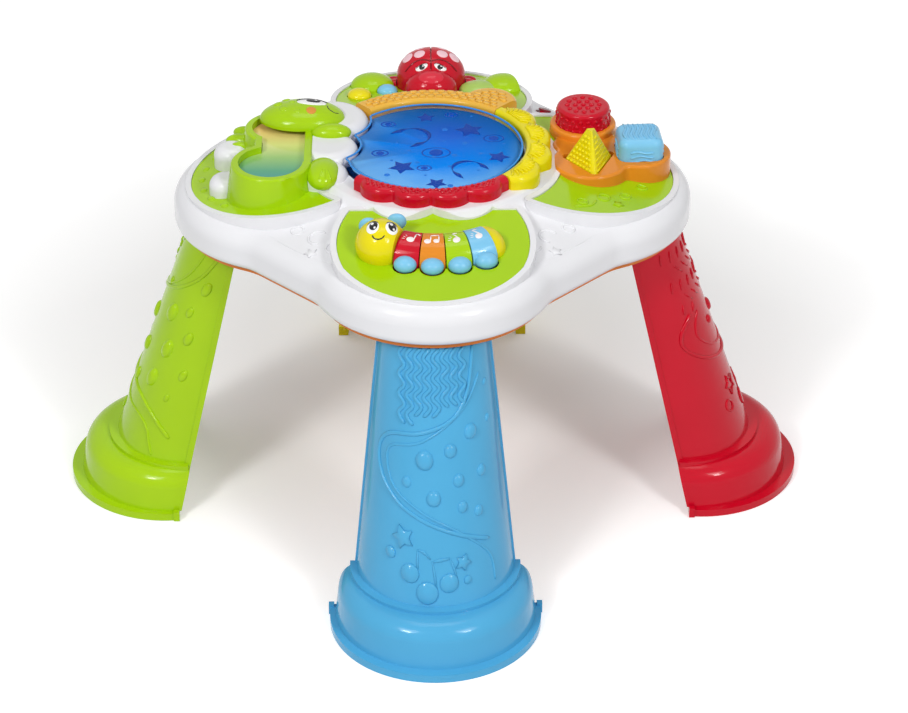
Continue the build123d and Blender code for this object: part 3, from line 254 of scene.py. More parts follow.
def print_plastic_with_painted_sheen(name):
    """Printed plate: deep blue behind the middle, with a painted reflection that makes it paler towards the
    front and left rim.
    """
    material = plastic(name, (4, 92, 205), roughness=0.35, coat=0.0, shine=0.03)
    nodes = material.node_tree.nodes
    links = material.node_tree.links
    shader = nodes["Principled BSDF"]
    coords = nodes.new("ShaderNodeTexCoord")
    reach = nodes.new("ShaderNodeVectorMath")
    reach.operation = "LENGTH"
    flatten = nodes.new("ShaderNodeVectorMath")
    flatten.operation = "MULTIPLY_ADD"
    flatten.inputs[1].default_value = (1, 1, 0)
    flatten.inputs[2].default_value = (-0.02, -0.03, 0)
    cloudy = add_node(nodes, "TexNoise", Scale=22)
    wander = nodes.new("ShaderNodeMath")
    wander.operation = "MULTIPLY_ADD"
    wander.inputs[1].default_value = 0.05
    place = add_node(nodes, "MapRange", From_Min=0.03, From_Max=0.135)
    # Paler stops further from a point just behind and right of the middle: painted reflection on the front
    # and left rim.
    ramp = nodes.new("ShaderNodeValToRGB")
    ramp.color_ramp.elements[0].color = linear((0, 106, 228))
    ramp.color_ramp.elements[1].color = linear((120, 190, 242))
    middle = ramp.color_ramp.elements.new(0.55)
    middle.color = linear((4, 138, 236))
    links.new(coords.outputs["Object"], flatten.inputs[0])
    links.new(flatten.outputs["Vector"], reach.inputs[0])
    links.new(coords.outputs["Object"], cloudy.inputs["Vector"])
    links.new(cloudy.outputs["Fac"], wander.inputs[0])
    links.new(reach.outputs["Value"], wander.inputs[2])
    links.new(wander.outputs["Value"], place.inputs["Value"])
    links.new(place.outputs["Result"], ramp.inputs["Fac"])
    links.new(ramp.outputs["Color"], shader.inputs["Base Color"])
    return material


def make_materials():
    """All finishes by name."""
    printed = {"roughness": 0.35, "coat": 0.0, "shine": 0.06, "mottle": 0.1}
    return {
        "white_plastic": plastic("white_plastic", WHITE, roughness=0.2, mottle=0.012),
        "lime_plastic": plastic("lime_plastic", LIME),
        "orange_plastic": plastic("orange_plastic", ORANGE),
        "pale_orange": plastic("pale_orange", PALE_ORANGE),
        "tray_orange": plastic("tray_orange", TRAY_ORANGE, roughness=0.32),
        "red_plastic": plastic("red_plastic", RED),
        "yellow_plastic": plastic("yellow_plastic", YELLOW),
        "blue_plastic": plastic("blue_plastic", BLUE),
        "pale_blue": plastic("pale_blue", PALE_BLUE),
        # Paler red of the nose: painted sheen on the head's front.
        "sheen_red": plastic("sheen_red", mixed(RED, (255, 120, 120), 0.35)),
        "dark_red": plastic("dark_red", (130, 4, 20)),
        "rim_blue": plastic("rim_blue", (46, 146, 232)),
        "clear_drum": clear_plastic("clear_drum", (10, 120, 255), 0.05),
        "drum_print": print_plastic_with_painted_sheen("drum_print"),
        "dino_lens": lens_plastic("dino_lens"),
        "glow_plastic": clear_plastic("glow_plastic", (190, 226, 110), 0.75),
        "circuit_board": plastic("circuit_board", (20, 92, 52), roughness=0.4, grain=0.3),
        "pad_rubber": plastic("pad_rubber", (90, 90, 92), roughness=0.6, coat=0.0, grain=0.2),
        "steel": steel("steel"),
        "lamp": clear_plastic("lamp", (240, 240, 220), 0.7),
        "cell_wrap": plastic("cell_wrap", (60, 60, 66), roughness=0.3),
        "speaker_black": plastic("speaker_black", (26, 26, 28), roughness=0.5, coat=0.0),
        "ink": plastic("ink", INK, roughness=0.3, coat=0.2, grain=0.0),
        "eye_white": plastic("eye_white", (250, 250, 250), roughness=0.3, mottle=0.01),
        "cheek": plastic("cheek", (226, 150, 60), roughness=0.3),
        "note_white": plastic("note_white", (250, 240, 240), roughness=0.3, mottle=0.01),
        "spot_pink": plastic("spot_pink", (250, 205, 215), roughness=0.3, mottle=0.01),
        "print_dark": plastic("print_dark", (0, 58, 168), **printed),
        "print_deep": plastic("print_deep", (2, 72, 188), **printed),
        "print_pale": plastic("print_pale", (30, 128, 230), **printed),
    }


# Finish of each node whose colour isn't that of its slot
NODE_FINISH = {
    "bottom_tray": "tray_orange",
    "arch_orange": "pale_orange",
    "foot_red": "pale_blue",
    "foot_orange": "pale_blue",
    "foot_green": "pale_blue",
    "foot_blue": "pale_blue",
    "bug_ears": "pale_blue",
    "key_blue": "pale_blue",
    "button_blue": "pale_blue",
    "block_cube": "pale_blue",
}


def squash_springs(frame):
    """Give each spring its own copy of its mesh; the joint, lower end and share listed for each are not
    used.
    """
    for node, joint, low_end, keep in (
        ("ladybird_spring", "ladybird_press", (0.0, 0.0, 0.317618), 0.72),
        ("drum_springs", "drum_press", (0.0, 0.0, 0.3502), 0.857),
    ):
        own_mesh(frame["nodes"][node])


def dress_nodes(frame, finishes):
    """Give every node of the model its finish."""
    for part in frame["record"]["subparts"]:
        node = frame["nodes"][part["node"]]
        finish = NODE_FINISH.get(part["node"], part["material_slot"])
        node.data.materials.clear()
        node.data.materials.append(finishes[finish])


class Relief:
    """Raised marks laid out flat in millimetres and wrapped onto one surface, gathered into one mesh."""

    def __init__(self, surface):
        self.surface = surface
        self.points = []
        self.faces = []

    def point(self, u, v, lift):
        """Point at a lift above a place on the surface, in metres; gives its number."""
        place = self.surface(u, v)
        step = 0.05
        across = self.surface(u + step, v) - place
        along = self.surface(u, v + step) - place
        normal = across.cross(along).normalized()
        self.points.append((place + normal * lift) * MM)
        return len(self.points) - 1

    def stack(self, loops, middle):
        """Closed form from loops, each a list of points and a lift, and a middle point on top."""
        last = None
        for outline, lift in loops:
            loop = [self.point(u, v, lift) for u, v in outline]
            count = len(loop)
            if last is None:
                base = self.point(middle[0], middle[1], loops[0][1])
                for i in range(count):
                    self.faces.append((base, loop[(i + 1) % count], loop[i]))
            else:
                for i in range(count):
                    j = (i + 1) % count
                    self.faces.append((last[i], last[j], loop[j], loop[i]))
            last = loop
        top = self.point(*middle)
        for i in range(count):
            self.faces.append((last[i], last[(i + 1) % count], top))

    def bump(self, u, v, size, height, stretch=1.0, turn=0.0, sides=18):
        """Rounded bump, oval when stretched."""
        loops = []
        for share, lift in ((1.0, -SINK), (0.97, 0.0), (0.88, 0.42), (0.66, 0.78), (0.36, 0.95)):
            outline = []
            for i in range(sides):
                angle = 2 * pi * i / sides
                x = size * share * cos(angle)
                y = size * share * stretch * sin(angle)
                outline.append((u + x * cos(turn) - y * sin(turn), v + x * sin(turn) + y * cos(turn)))
            loops.append((outline, lift if lift <= 0 else lift * height))
        self.stack(loops, (u, v, height))

    def plate(self, outline, height, edge=0.9):
        """Flat raised shape with softened edges, seen whole from its middle."""
        u = sum(point[0] for point in outline) / len(outline)
        v = sum(point[1] for point in outline) / len(outline)
        inner = [(u + (a - u) * edge, v + (b - v) * edge) for a, b in outline]
        self.stack([(outline, -SINK), (outline, height * 0.5), (inner, height)], (u, v, height))

    def stroke(self, path, width, height, closed=False):
        """Half-round ridge along a path, tapering at open ends."""
        count = len(path)
        rows = []
        for i, (u, v) in enumerate(path):
            before = path[i - 1] if closed or i > 0 else path[0]
            after = path[(i + 1) % count] if closed or i < count - 1 else path[-1]
            du = after[0] - before[0]
            dv = after[1] - before[1]
            length = sqrt(du * du + dv * dv) or 1.0
            side = (-dv / length, du / length)
            end = not closed and i in (0, count - 1)
            scale = 0.55 if end else 1.0
            row = []
            for across, lift in ((-1, -SINK), (-0.75, 0.5), (0, 1.0), (0.75, 0.5), (1, -SINK)):
                reach = across * width / 2 * scale
                rise = lift if lift < 0 else lift * height * scale
                row.append(self.point(u + side[0] * reach, v + side[1] * reach, rise))
            rows.append(row)
        for i in range(count if closed else count - 1):
            one = rows[i]
            two = rows[(i + 1) % count]
            for k in range(len(one)):
                m = (k + 1) % len(one)
                self.faces.append((one[k], two[k], two[m], one[m]))
        if not closed:
            self.faces.append(tuple(rows[0]))
            self.faces.append(tuple(reversed(rows[-1])))

    def build(self, name, finishes, finish, body=TABLE_BODY):
        """Piece made of the gathered marks, in a finish, riding on a body."""
        mesh = bpy.data.meshes.new(name)
        mesh.from_pydata([tuple(p) for p in self.points], [], self.faces)
        mesh.validate()
        form = bmesh.new()
        form.from_mesh(mesh)
        bmesh.ops.recalc_face_normals(form, faces=form.faces)
        form.to_mesh(mesh)
        form.free()
        for polygon in mesh.polygons:
            polygon.use_smooth = True
        mesh.materials.append(finishes[finish])
        piece = add_object(name, mesh)
        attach(piece, body)
        return piece


def circle(u, v, radius, sides=24, start=0.0, sweep=2 * pi, stretch=1.0):
    """Points round a circle, or along a part of it."""
    steps = sides if sweep >= 2 * pi - 0.001 else sides - 1
    points = []
    for i in range(sides):
        angle = start + sweep * i / steps
        points.append((u + radius * cos(angle), v + radius * stretch * sin(angle)))
    return points


def star(u, v, radius, turn):
    """Outline of a five-pointed star."""
    points = []
    for i in range(10):
        reach = radius if i % 2 == 0 else radius * 0.52
        angle = turn + pi / 2 + i * pi / 5
        points.append((u + reach * cos(angle), v + reach * sin(angle)))
    return points


def smooth(points, steps=6):
    """Points on a rounded line through a few given ones."""
    out = []
    count = len(points)
    for i in range(count - 1):
        a = points[max(i - 1, 0)]
        b = points[i]
        c = points[i + 1]
        d = points[min(i + 2, count - 1)]
        for k in range(steps):
            t = k / steps
            out.append(tuple(
                0.5 * (2 * b[n] + (c[n] - a[n]) * t + (2 * a[n] - 5 * b[n] + 4 * c[n] - d[n]) * t * t
                       + (3 * b[n] - a[n] - 3 * c[n] + d[n]) * t ** 3)
                for n in (0, 1)
            ))
    out.append(points[-1])
    return out


def turned(point, quarter_turns):
    """Point made for the front nose, turned to another nose."""
    angle = quarter_turns * pi / 2
    return Vector((
        point[0] * cos(angle) - point[1] * sin(angle),
        point[0] * sin(angle) + point[1] * cos(angle),
        point[2],
    ))


def leg_section(z):
    """Reach of a leg's back edge at a height, its depth, its radius, and how far round its face goes."""
    share = z / TRAY_Z
    reach, half, depth = (low + (top - low) * share for low, top in zip(LEG_FLOOR, LEG_TOP))
    radius = (half * half + depth * depth) / (2 * depth)
    return reach, depth, radius, radius * acos((radius - depth) / radius)


def leg_surface(quarter_turns):
    """Outside of a leg: distance round from its front line, and height."""
    def at(s, z):
        reach, depth, radius, _ = leg_section(z)
        angle = s / radius
        return turned((radius * sin(angle), radius - reach - depth - radius * cos(angle), z), quarter_turns)
    return at


def panel_surface(quarter_turns):
    """Face of a panel: distance across, and distance up from its nose."""
    def at(x, up):
        return turned((x, -PANEL_REACH + up * cos(SLOPE), PANEL_Z + up * sin(SLOPE)), quarter_turns)
    return at


def flat_surface(z):
    """Level plane at a height."""
    def at(x, y):
        return Vector((x, y, z))
    return at


def valley_surface(x, y):
    """White slopes between the panels."""
    reach = sqrt(x * x + y * y)
    return Vector((x, y, RIM_TOP_Z + max(VALLEY_REACH - reach, 0.0) * VALLEY_RISE))


def ball_surface(ball, anchor, right=(1, 0, 0)):
    """Stretched ball about a place on it: distances right and up from there, carried onto the ball."""
    centre = Vector(ball[0])
    radii = ball[1]
    anchor = Vector(anchor)
    outward = Vector([(anchor[n] - centre[n]) / radii[n] ** 2 for n in range(3)]).normalized()
    across = Vector(right)
    across = (across - outward * across.dot(outward)).normalized()
    upward = outward.cross(across)

    def at(u, v):
        start = anchor + across * u + upward * v - centre
        a = sum((outward[n] / radii[n]) ** 2 for n in range(3))
        b = sum(start[n] * outward[n] / radii[n] ** 2 for n in range(3))
        c = sum((start[n] / radii[n]) ** 2 for n in range(3)) - 1
        rise = (-b + sqrt(max(b * b - a * c, 0.0))) / a
        return centre + start + outward * rise
    return at


def key_surface(index):
    """Top of a key: distance across it, and distance over it towards the inside of the curl."""
    plane = panel_surface(0)
    middle = radians(-90 - (KEY_FIRST - KEY_PITCH * index) + KEY_PITCH / 2)

    def at(u, v):
        tilt = pi / 2 + v / (KEY_HALF * 0.95)
        reach = KEY_MIDDLE + KEY_HALF * cos(tilt)
        angle = middle + u / KEY_MIDDLE
        flat = plane(CURL[0] + reach * cos(angle), CURL[1] + reach * sin(angle))
        lift = KEY_HEIGHT * sin(tilt)
        return flat + Vector((0, -sin(SLOPE), cos(SLOPE))) * lift
    return at


def note_marks(relief, u, v, size, height, double=False, turn=0.0):
    """Single or double music note about its head."""
    def spin(points):
        return [
            (u + (a * cos(turn) - b * sin(turn)) * size, v + (a * sin(turn) + b * cos(turn)) * size)
            for a, b in points
        ]
    line = 0.26 * size
    relief.plate(spin(circle(0, 0, 0.5, 16, stretch=0.86)), height)
    relief.stroke(spin([(0.42, 0.1), (0.42, 0.7), (0.42, 1.35)]), line, height)
    if double:
        relief.plate(spin(circle(1.25, 0.1, 0.45, 16, stretch=0.86)), height)
        relief.stroke(spin([(1.62, 0.2), (1.62, 0.8), (1.62, 1.5)]), line, height)
        relief.stroke(spin([(0.4, 1.3), (1.0, 1.4), (1.64, 1.48)]), line * 1.4, height)
    else:
        relief.stroke(spin([(0.42, 1.3), (0.75, 1.25), (1.0, 1.0)]), line * 1.2, height)


def rays(relief, places, lean, rise):
    """Short raised dashes, each from a place down by a rise and across by a lean."""
    for u, v in places:
        relief.stroke([(u - lean / 2, v + rise / 2), (u, v), (u + lean / 2, v - rise / 2)], 2.6, 1.8)


def edge_beads(relief):
    """Raised bead down both cut edges of a leg."""
    for side in (-1, 1):
        path = []
        for k in range(12):
            z = 64 + 20.6 * k
            path.append((side * (leg_section(z)[3] - 3.2), z))
        relief.stroke(path, 2.4, 1.3)


def front_leg_marks(relief):
    """Waves at the top, a winding ribbon, round bumps, stars and notes."""
    for line in range(8):
        u = -33 + line * 8.6
        end = 217 + line * 2.8
        path = []
        z = 293.0
        side = 1
        while z > end:
            path.append((u + 3.4 * side, z))
            side = -side
            z -= 9.0
        relief.stroke(smooth(path, 4), 4.2, 2.4)
    edge = [
        (40, 292), (34, 253), (19, 228.5), (-12, 215), (-46, 208), (-62, 192), (-60, 170), (-39, 148),
        (-13, 134), (22, 119.5), (58, 106),
    ]
    relief.stroke(smooth(edge), 4.5, 2.2)
    inner = [
        (48, 262), (28, 235), (-12, 207), (-45, 197), (-51, 181), (-42, 160), (-13, 141), (22, 122),
        (58, 92), (66, 64),
    ]
    relief.stroke(smooth(inner), 3.0, 1.5)
    bumps = [
        (-10, 190, 9.0), (15, 198, 6.4), (36, 212, 7.0), (49, 172, 5.2), (23, 169.5, 6.0), (-28, 167.6, 5.0),
        (-1.4, 154.5, 7.3), (27, 144, 5.4), (45, 136, 5.0), (57, 250, 3.0), (60, 216, 3.4),
    ]
    for u, v, size in bumps:
        relief.bump(u, v, size, size * 0.5, stretch=1.1)
    relief.plate(star(-32, 115.5, 12, turn=0.35), 2.4)
    relief.plate(circle(-46, 98, 5.5, 18), 2.0)
    relief.plate(star(27, 92.5, 8.5, turn=-0.4), 2.2)
    relief.plate(circle(32, 75, 4.0, 14), 1.4)
    relief.plate(circle(-25, 83, 9.0, 22), 2.2)
    relief.stroke([(-17.5, 86), (-17.5, 96), (-17.5, 106)], 2.8, 1.7)
    relief.stroke([(-17.5, 106), (-11, 104), (-5, 98)], 3.2, 1.7)
    relief.plate(circle(-8, 66, 10.5, 24), 2.2)
    relief.stroke([(1, 70), (-1, 83), (-3, 96)], 2.8, 1.7)
    relief.plate(circle(13, 75, 9.0, 22), 2.2)
    relief.stroke([(21, 78), (18, 88), (14, 98)], 2.8, 1.7)
    relief.stroke([(-3, 95), (5, 97), (14, 98)], 4.0, 1.8)


def left_leg_marks(relief):
    """Dashes between two curved ribbons at the top, egg-shaped bumps, and a ribbon near the foot."""
    for row in range(4):
        rays(relief, [(-34 + 9 * k, 284 - 13 * row) for k in range(6 - row)], -3, 8)
    relief.stroke(smooth([(70, 290), (58, 258), (32, 236), (-6, 222), (-44, 214)]), 4.5, 2.0)
    relief.stroke(smooth([(54, 290), (42, 256), (14, 232), (-22, 222)]), 3.0, 1.4)
    eggs = [
        (68, 246, 5.6), (38, 210, 7.4), (60, 218, 4.4), (70, 190, 5.4), (50, 172, 7.4), (-6, 190, 6.6),
        (8, 158, 6.0), (44, 136, 7.4), (80, 150, 4.8), (72, 122, 3.2), (-34, 194, 6.6), (-30, 156, 6.4),
        (-56, 168, 5.6), (16, 236, 3.4), (-58, 206, 5.4), (12, 124, 5.0),
    ]
    for u, v, size in eggs:
        relief.bump(u, v, size, size * 0.55, stretch=1.45)
    relief.stroke(smooth([(-66, 148), (-36, 132), (0, 120), (40, 110), (68, 96), (92, 79)]), 4.5, 2.0)
    foot_line = [(-70, 116), (-30, 106), (10, 96), (44, 92), (62, 83), (72, 68), (80, 57)]
    relief.stroke(smooth(foot_line), 3.0, 1.4)
    relief.plate(star(-34, 86, 10, turn=0.3), 1.6)
    relief.plate(circle(-8, 76, 6.0, 18), 1.5)


def right_leg_marks(relief):
    """Herringbone dashes at the top, a loop of ribbon, a star, rings and notes near the foot."""
    for row, z in enumerate((272, 256, 240, 224)):
        if row % 2 == 0:
            rays(relief, [(-56 + 13 * k, z) for k in range(9)], -3.5, 11)
        else:
            rays(relief, [(-38 + 13 * k, z) for k in range(6)], 9, 9)
    rays(relief, [(-52, 214), (-38, 212)], -3.5, 10)
    edge = [
        (-46, 207), (-64, 192), (-70, 178), (-60, 164), (-38, 152), (-8, 146), (24, 148), (54, 160),
        (70, 178),
    ]
    relief.stroke(smooth(edge), 4.5, 2.2)
    inner = [(-34, 206), (-46, 190), (-46, 178), (-32, 165), (-8, 158), (22, 160), (46, 172)]
    relief.stroke(smooth(inner), 3.0, 1.5)
    bumps = [
        (8, 190, 7.0), (-16, 186, 5.0), (30, 200, 6.0), (50, 204, 5.0), (60, 132, 5.0), (78, 150, 4.0),
    ]
    for u, v, size in bumps:
        relief.bump(u, v, size, size * 0.5)
    relief.stroke(star(-24, 112, 11, turn=0.3), 2.6, 1.7, closed=True)
    relief.stroke(circle(-40, 94, 6, 18), 2.6, 1.6, closed=True)
    relief.plate(circle(2, 82, 9.0, 22), 1.7)
    relief.stroke([(9, 86), (9, 98), (9, 110)], 2.8, 1.8)
    relief.stroke([(9, 110), (16, 107), (22, 100)], 3.2, 1.8)
    relief.plate(circle(34, 80, 8.0, 22), 1.7)
    relief.stroke([(41, 84), (41, 95), (41, 106)], 2.8, 1.8)


def make_leg_marks(finishes):
    """Raised marks on the legs; the back leg repeats the front one."""
    marks = (
        ("leg_front", 0, front_leg_marks, "blue_plastic"),
        ("leg_right", 1, right_leg_marks, "red_plastic"),
        ("leg_back", 2, front_leg_marks, "yellow_plastic"),
        ("leg_left", 3, left_leg_marks, "lime_plastic"),
    )
    for name, turns, draw, finish in marks:
        relief = Relief(leg_surface(turns))
        draw(relief)
        edge_beads(relief)
        relief.build(name + "_marks", finishes, finish)


def make_key_notes(finishes):
    """White notes on the keys; three of them have small rays."""
    keys = (("red", False, -0.1), ("orange", True, 0.0), ("green", False, 0.55), ("blue", False, 0.6))
    for index, (colour, double, turn) in enumerate(keys):
        relief = Relief(key_surface(index))
        if double:
            note_marks(relief, -5.0, -3.0, 6.6, 0.35, double=True, turn=turn)
        else:
            note_marks(relief, 0.5, -2.5, 7.6, 0.35, turn=turn)
            for ray in range(3):
                angle = 2.4 + ray * 0.38
                path = [(0.5 + far * cos(angle), -2.5 + far * sin(angle)) for far in (5.2, 6.8, 8.2)]
                relief.stroke(path, 0.8, 0.3)
        relief.build("note_" + colour, finishes, "note_white", "key_" + colour + "_body")


def make_bug_face(finishes):
    """Two wide eyes with large pupils, and a smile."""
    face = ball_surface(BUG_HEAD, (-48.6, -172.2, 383.3), right=(1.0, 0.0, -0.06))
    whites = Relief(face)
    dark = Relief(face)
    shine = Relief(face)
    for side in (-1, 1):
        u = side * 9.0
        whites.plate(circle(u, 0, 5.9, 26, stretch=1.3), 0.3)
        dark.plate(circle(u + 0.7, 1.6, 3.9, 22, stretch=1.45), 0.55)
        dark.stroke(circle(u, 0.6, 5.7, 12, start=0.5, sweep=2.1, stretch=1.35), 1.1, 0.6)
        shine.plate(circle(u - 0.4, 4.2, 1.5, 12, stretch=1.2), 0.85)
        shine.plate(circle(u + 1.9, -1.6, 1.1, 12, stretch=1.2), 0.85)
    dark.stroke(smooth([(-9.2, -9.2), (-7.2, -12.2), (-3.4, -13.4), (0.2, -12.4), (2.6, -9.8)]), 1.3, 0.4)
    whites.build("bug_eyes", finishes, "eye_white")
    dark.build("bug_pupils", finishes, "ink")
    shine.build("bug_eye_shine", finishes, "eye_white")


def make_ladybird_details(finishes):
    """Spots on the wing cases, the seam between them, sleepy eyes, and a raised nose whose paler red is a
    painted sheen.
    """
    top = ball_surface(LADYBIRD, (0, 191, 388.5))
    spots = Relief(top)
    for side in (-1, 1):
        spots.plate(circle(side * 12.0, 0, 5.8, 24, stretch=1.05), 0.25)
        spots.plate(circle(side * 24.5, 2, 5.2, 24, stretch=1.3), 0.25)
        spots.plate(circle(side * 11.5, 16, 5.4, 24, stretch=1.0), 0.25)
        spots.plate(circle(side * 23.5, 17, 4.2, 24, stretch=1.0), 0.25)
    spots.build("ladybird_spots", finishes, "spot_pink", "ladybird")
    seam = Relief(lambda u, v: top(u, v) + Vector((0, 0, -2.0)))
    seam.stroke([(0, -20 + 2.5 * k) for k in range(19)], 1.1, 1.0)
    seam.build("ladybird_seam", finishes, "dark_red", "ladybird")
    front = ball_surface(LADYBIRD, (0, 174.4, 381.0))
    edge = Relief(front)
    for side in (-1, 1):
        path = [(side * 0.6, 6.4), (side * 9, 8.4), (side * 18, 6.0), (side * 27, -2.0)]
        edge.stroke(smooth(path), 1.7, 0.8)
    edge.build("ladybird_wing_edge", finishes, "dark_red", "ladybird")
    whites = Relief(front)
    dark = Relief(front)
    shine = Relief(front)
    lids = Relief(front)
    for side in (-1, 1):
        outline = []
        for x, y in circle(0, 0, 6.4, 26, stretch=0.62):
            outline.append((side * (9.8 + x), y - x * 0.3))
        whites.plate(outline if side > 0 else outline[::-1], 0.35)
        dark.plate(circle(side * 9.4, -0.5, 2.9, 18, stretch=0.95), 0.6)
        shine.plate(circle(side * 9.4 + 1.1, 0.6, 0.9, 10), 0.8)
        lids.stroke(smooth([(side * 3.6, 4.6), (side * 9.6, 3.8), (side * 16.2, 0.0)]), 1.9, 1.1)
        dark.stroke(smooth([(side * 3.4, 2.9), (side * 9.4, 2.7), (side * 15.8, -1.4)]), 0.8, 0.7)
    whites.build("ladybird_eyes", finishes, "eye_white", "ladybird")
    dark.build("ladybird_pupils", finishes, "ink", "ladybird")
    shine.build("ladybird_eye_shine", finishes, "eye_white", "ladybird")
    lids.build("ladybird_lids", finishes, "red_plastic", "ladybird")
    # Raised nose in a paler red: the paler tone is painted sheen.
    nose = Relief(ball_surface(SNOUT, (0, 161, 377.7)))
    nose.bump(0, -1, 13.5, 0.8, stretch=0.66, sides=30)
    nose.build("ladybird_nose", finishes, "sheen_red", "ladybird")


def make_dinosaur_details(finishes):
    """Large eye, cheek, smile and brow, scales on the head, and ribs on the paw."""
    head = ball_surface(DINO_HEAD, (-121.0, 55.0, 401.5))
    whites = Relief(head)
    whites.plate(circle(0, 1, 15.0, 30, stretch=0.46), 0.4)
    whites.build("dino_eye", finishes, "eye_white")
    dark = Relief(head)
    dark.plate(circle(1.5, 3.6, 7.2, 24, stretch=0.62), 0.75)
    dark.stroke(smooth([(-15.5, 4.6), (-6, 8.8), (6, 9.0), (16, 4.4)]), 1.3, 0.8)
    mouth = Relief(ball_surface(DINO_HEAD, (-101.0, 49.4, 397.1)))
    mouth.stroke(smooth([(-4.6, 3.4), (-3.0, -2.4), (3.0, -5.4), (8.0, -3.4)]), 1.2, 0.4)
    mouth.build("dino_smile", finishes, "ink")
    dark.build("dino_pupil", finishes, "ink")
    shine = Relief(head)
    shine.plate(circle(4.0, 5.2, 1.6, 12, stretch=0.7), 0.95)
    shine.build("dino_eye_shine", finishes, "eye_white")
    cheek = Relief(head)
    cheek.plate(circle(0, -14.4, 5.0, 22), 0.3)
    cheek.build("dino_cheek", finishes, "cheek")
    scales = Relief(head)
    for u, v, radius in ((-34, 2, 5.0), (-26, 12, 4.4), (-28, -10, 4.4), (-20, 2, 3.4), (-14, -16, 3.0)):
        scales.bump(u, v, radius, radius * 0.28)
    scales.build("dino_scales", finishes, "lime_plastic")
    toes = Relief(ball_surface(DINO_PAW, (-106, -50, 385.6)))
    for shift in (-5, 1, 7):
        toes.stroke(smooth([(shift, -17), (shift * 0.7, -12), (shift * 0.4, -7)]), 1.6, 0.6)
    toes.build("dino_toes", finishes, "lime_plastic")


def scallop_edge(reach, radius, off):
    """How far out the flat top of an arch goes, at an angle off the middle of a scallop."""
    return reach * cos(off) + sqrt(max(radius * radius - (reach * sin(off)) ** 2, 0.0)) - 6.0


def make_arch_marks(finishes):
    """Bumps on the red arch, leaf veins on the yellow one and bricks on the orange one."""
    red = Relief(flat_surface(ARCH_Z))
    for row in range(3):
        for k in range(23):
            angle = -130 + 3.5 * k + 1.75 * (row % 2)
            off = min(abs(angle - middle) for middle in (-122, -101.4, -80.7, -60))
            reach = 99.3 + 3.4 * row
            if reach < scallop_edge(89.0, 24.0, radians(off)) + 0.8 or row == 0:
                size = 1.6 if (row + k) % 3 else 2.1
                red.bump(reach * cos(radians(angle)), reach * sin(radians(angle)), size, 1.6, sides=12)
    red.build("arch_red_marks", finishes, "red_plastic")
    yellow = Relief(flat_surface(ARCH_Z))
    for leaf in (-32, -11, 11, 33):
        for vein in range(-4, 5):
            base = leaf + vein * 1.6
            tip = leaf + vein * 2.7
            end = min(scallop_edge(95.0, 26.0, radians(vein * 2.7)), 114.0)
            path = []
            for k in range(6):
                share = k / 5
                reach = 98.5 + (end - 98.5) * share
                angle = radians(base + (tip - base) * share * share)
                path.append((reach * cos(angle), reach * sin(angle)))
            yellow.stroke(path, 2.3, 2.4)
    yellow.build("arch_yellow_marks", finishes, "yellow_plastic")
    orange = Relief(flat_surface(ARCH_Z))
    knob = Vector((112 * cos(radians(58)), 112 * sin(radians(58))))
    for ring in range(7):
        reach = 100.4 + ring * 5.3
        for k in range(16):
            angle = 51 + 2.2 * (ring % 3) + 4.9 * k
            spot = Vector((reach * cos(radians(angle)), reach * sin(radians(angle))))
            if angle > 127 or (ring > 2 and (spot - knob).length > 18):
                continue
            corners = []
            for a, r in ((-1.9, -1.9), (1.9, -1.9), (1.9, 1.9), (-1.9, 1.9)):
                turn = radians(angle + a)
                corners.append(((reach + r) * cos(turn), (reach + r) * sin(turn)))
            orange.plate(corners, 1.6, edge=0.78)
    orange.build("arch_orange_marks", finishes, "pale_orange")


def disc_edge(reach, gap):
    """Outline round the drum at a reach, and at a gap from the three clouds that bite into it."""
    edge = []
    for i in range(180):
        angle = 2 * pi * i / 180
        out = reach
        for x, y, radius in CLOUDS:
            along = x * cos(angle) + y * sin(angle)
            off = x * x + y * y - along * along
            limit = radius + gap
            if along > 0 and off < limit * limit:
                out = min(out, along - sqrt(limit * limit - off))
        edge.append((out * cos(angle), out * sin(angle)))
    return edge


def crescent(relief, x, y, radius, turn):
    """Thin moon built as a band between its outer and inner curve."""
    rows = []
    for i in range(17):
        angle = turn + radians(-120 + 15 * i)
        outer = (x + radius * cos(angle), y + radius * sin(angle))
        inner = (
            x + radius * (0.45 * cos(turn) + 0.8 * cos(angle)),
            y + radius * (0.45 * sin(turn) + 0.8 * sin(angle)),
        )
        rows.append([
            relief.point(*outer, -SINK),
            relief.point(*outer, 0.3),
            relief.point(*inner, 0.3),
            relief.point(*inner, -SINK),
        ])
    for one, two in zip(rows, rows[1:]):
        for k in range(4):
            m = (k + 1) % 4
            relief.faces.append((one[k], two[k], two[m], one[m]))
    relief.faces.append(tuple(rows[0]))
    relief.faces.append(tuple(reversed(rows[-1])))


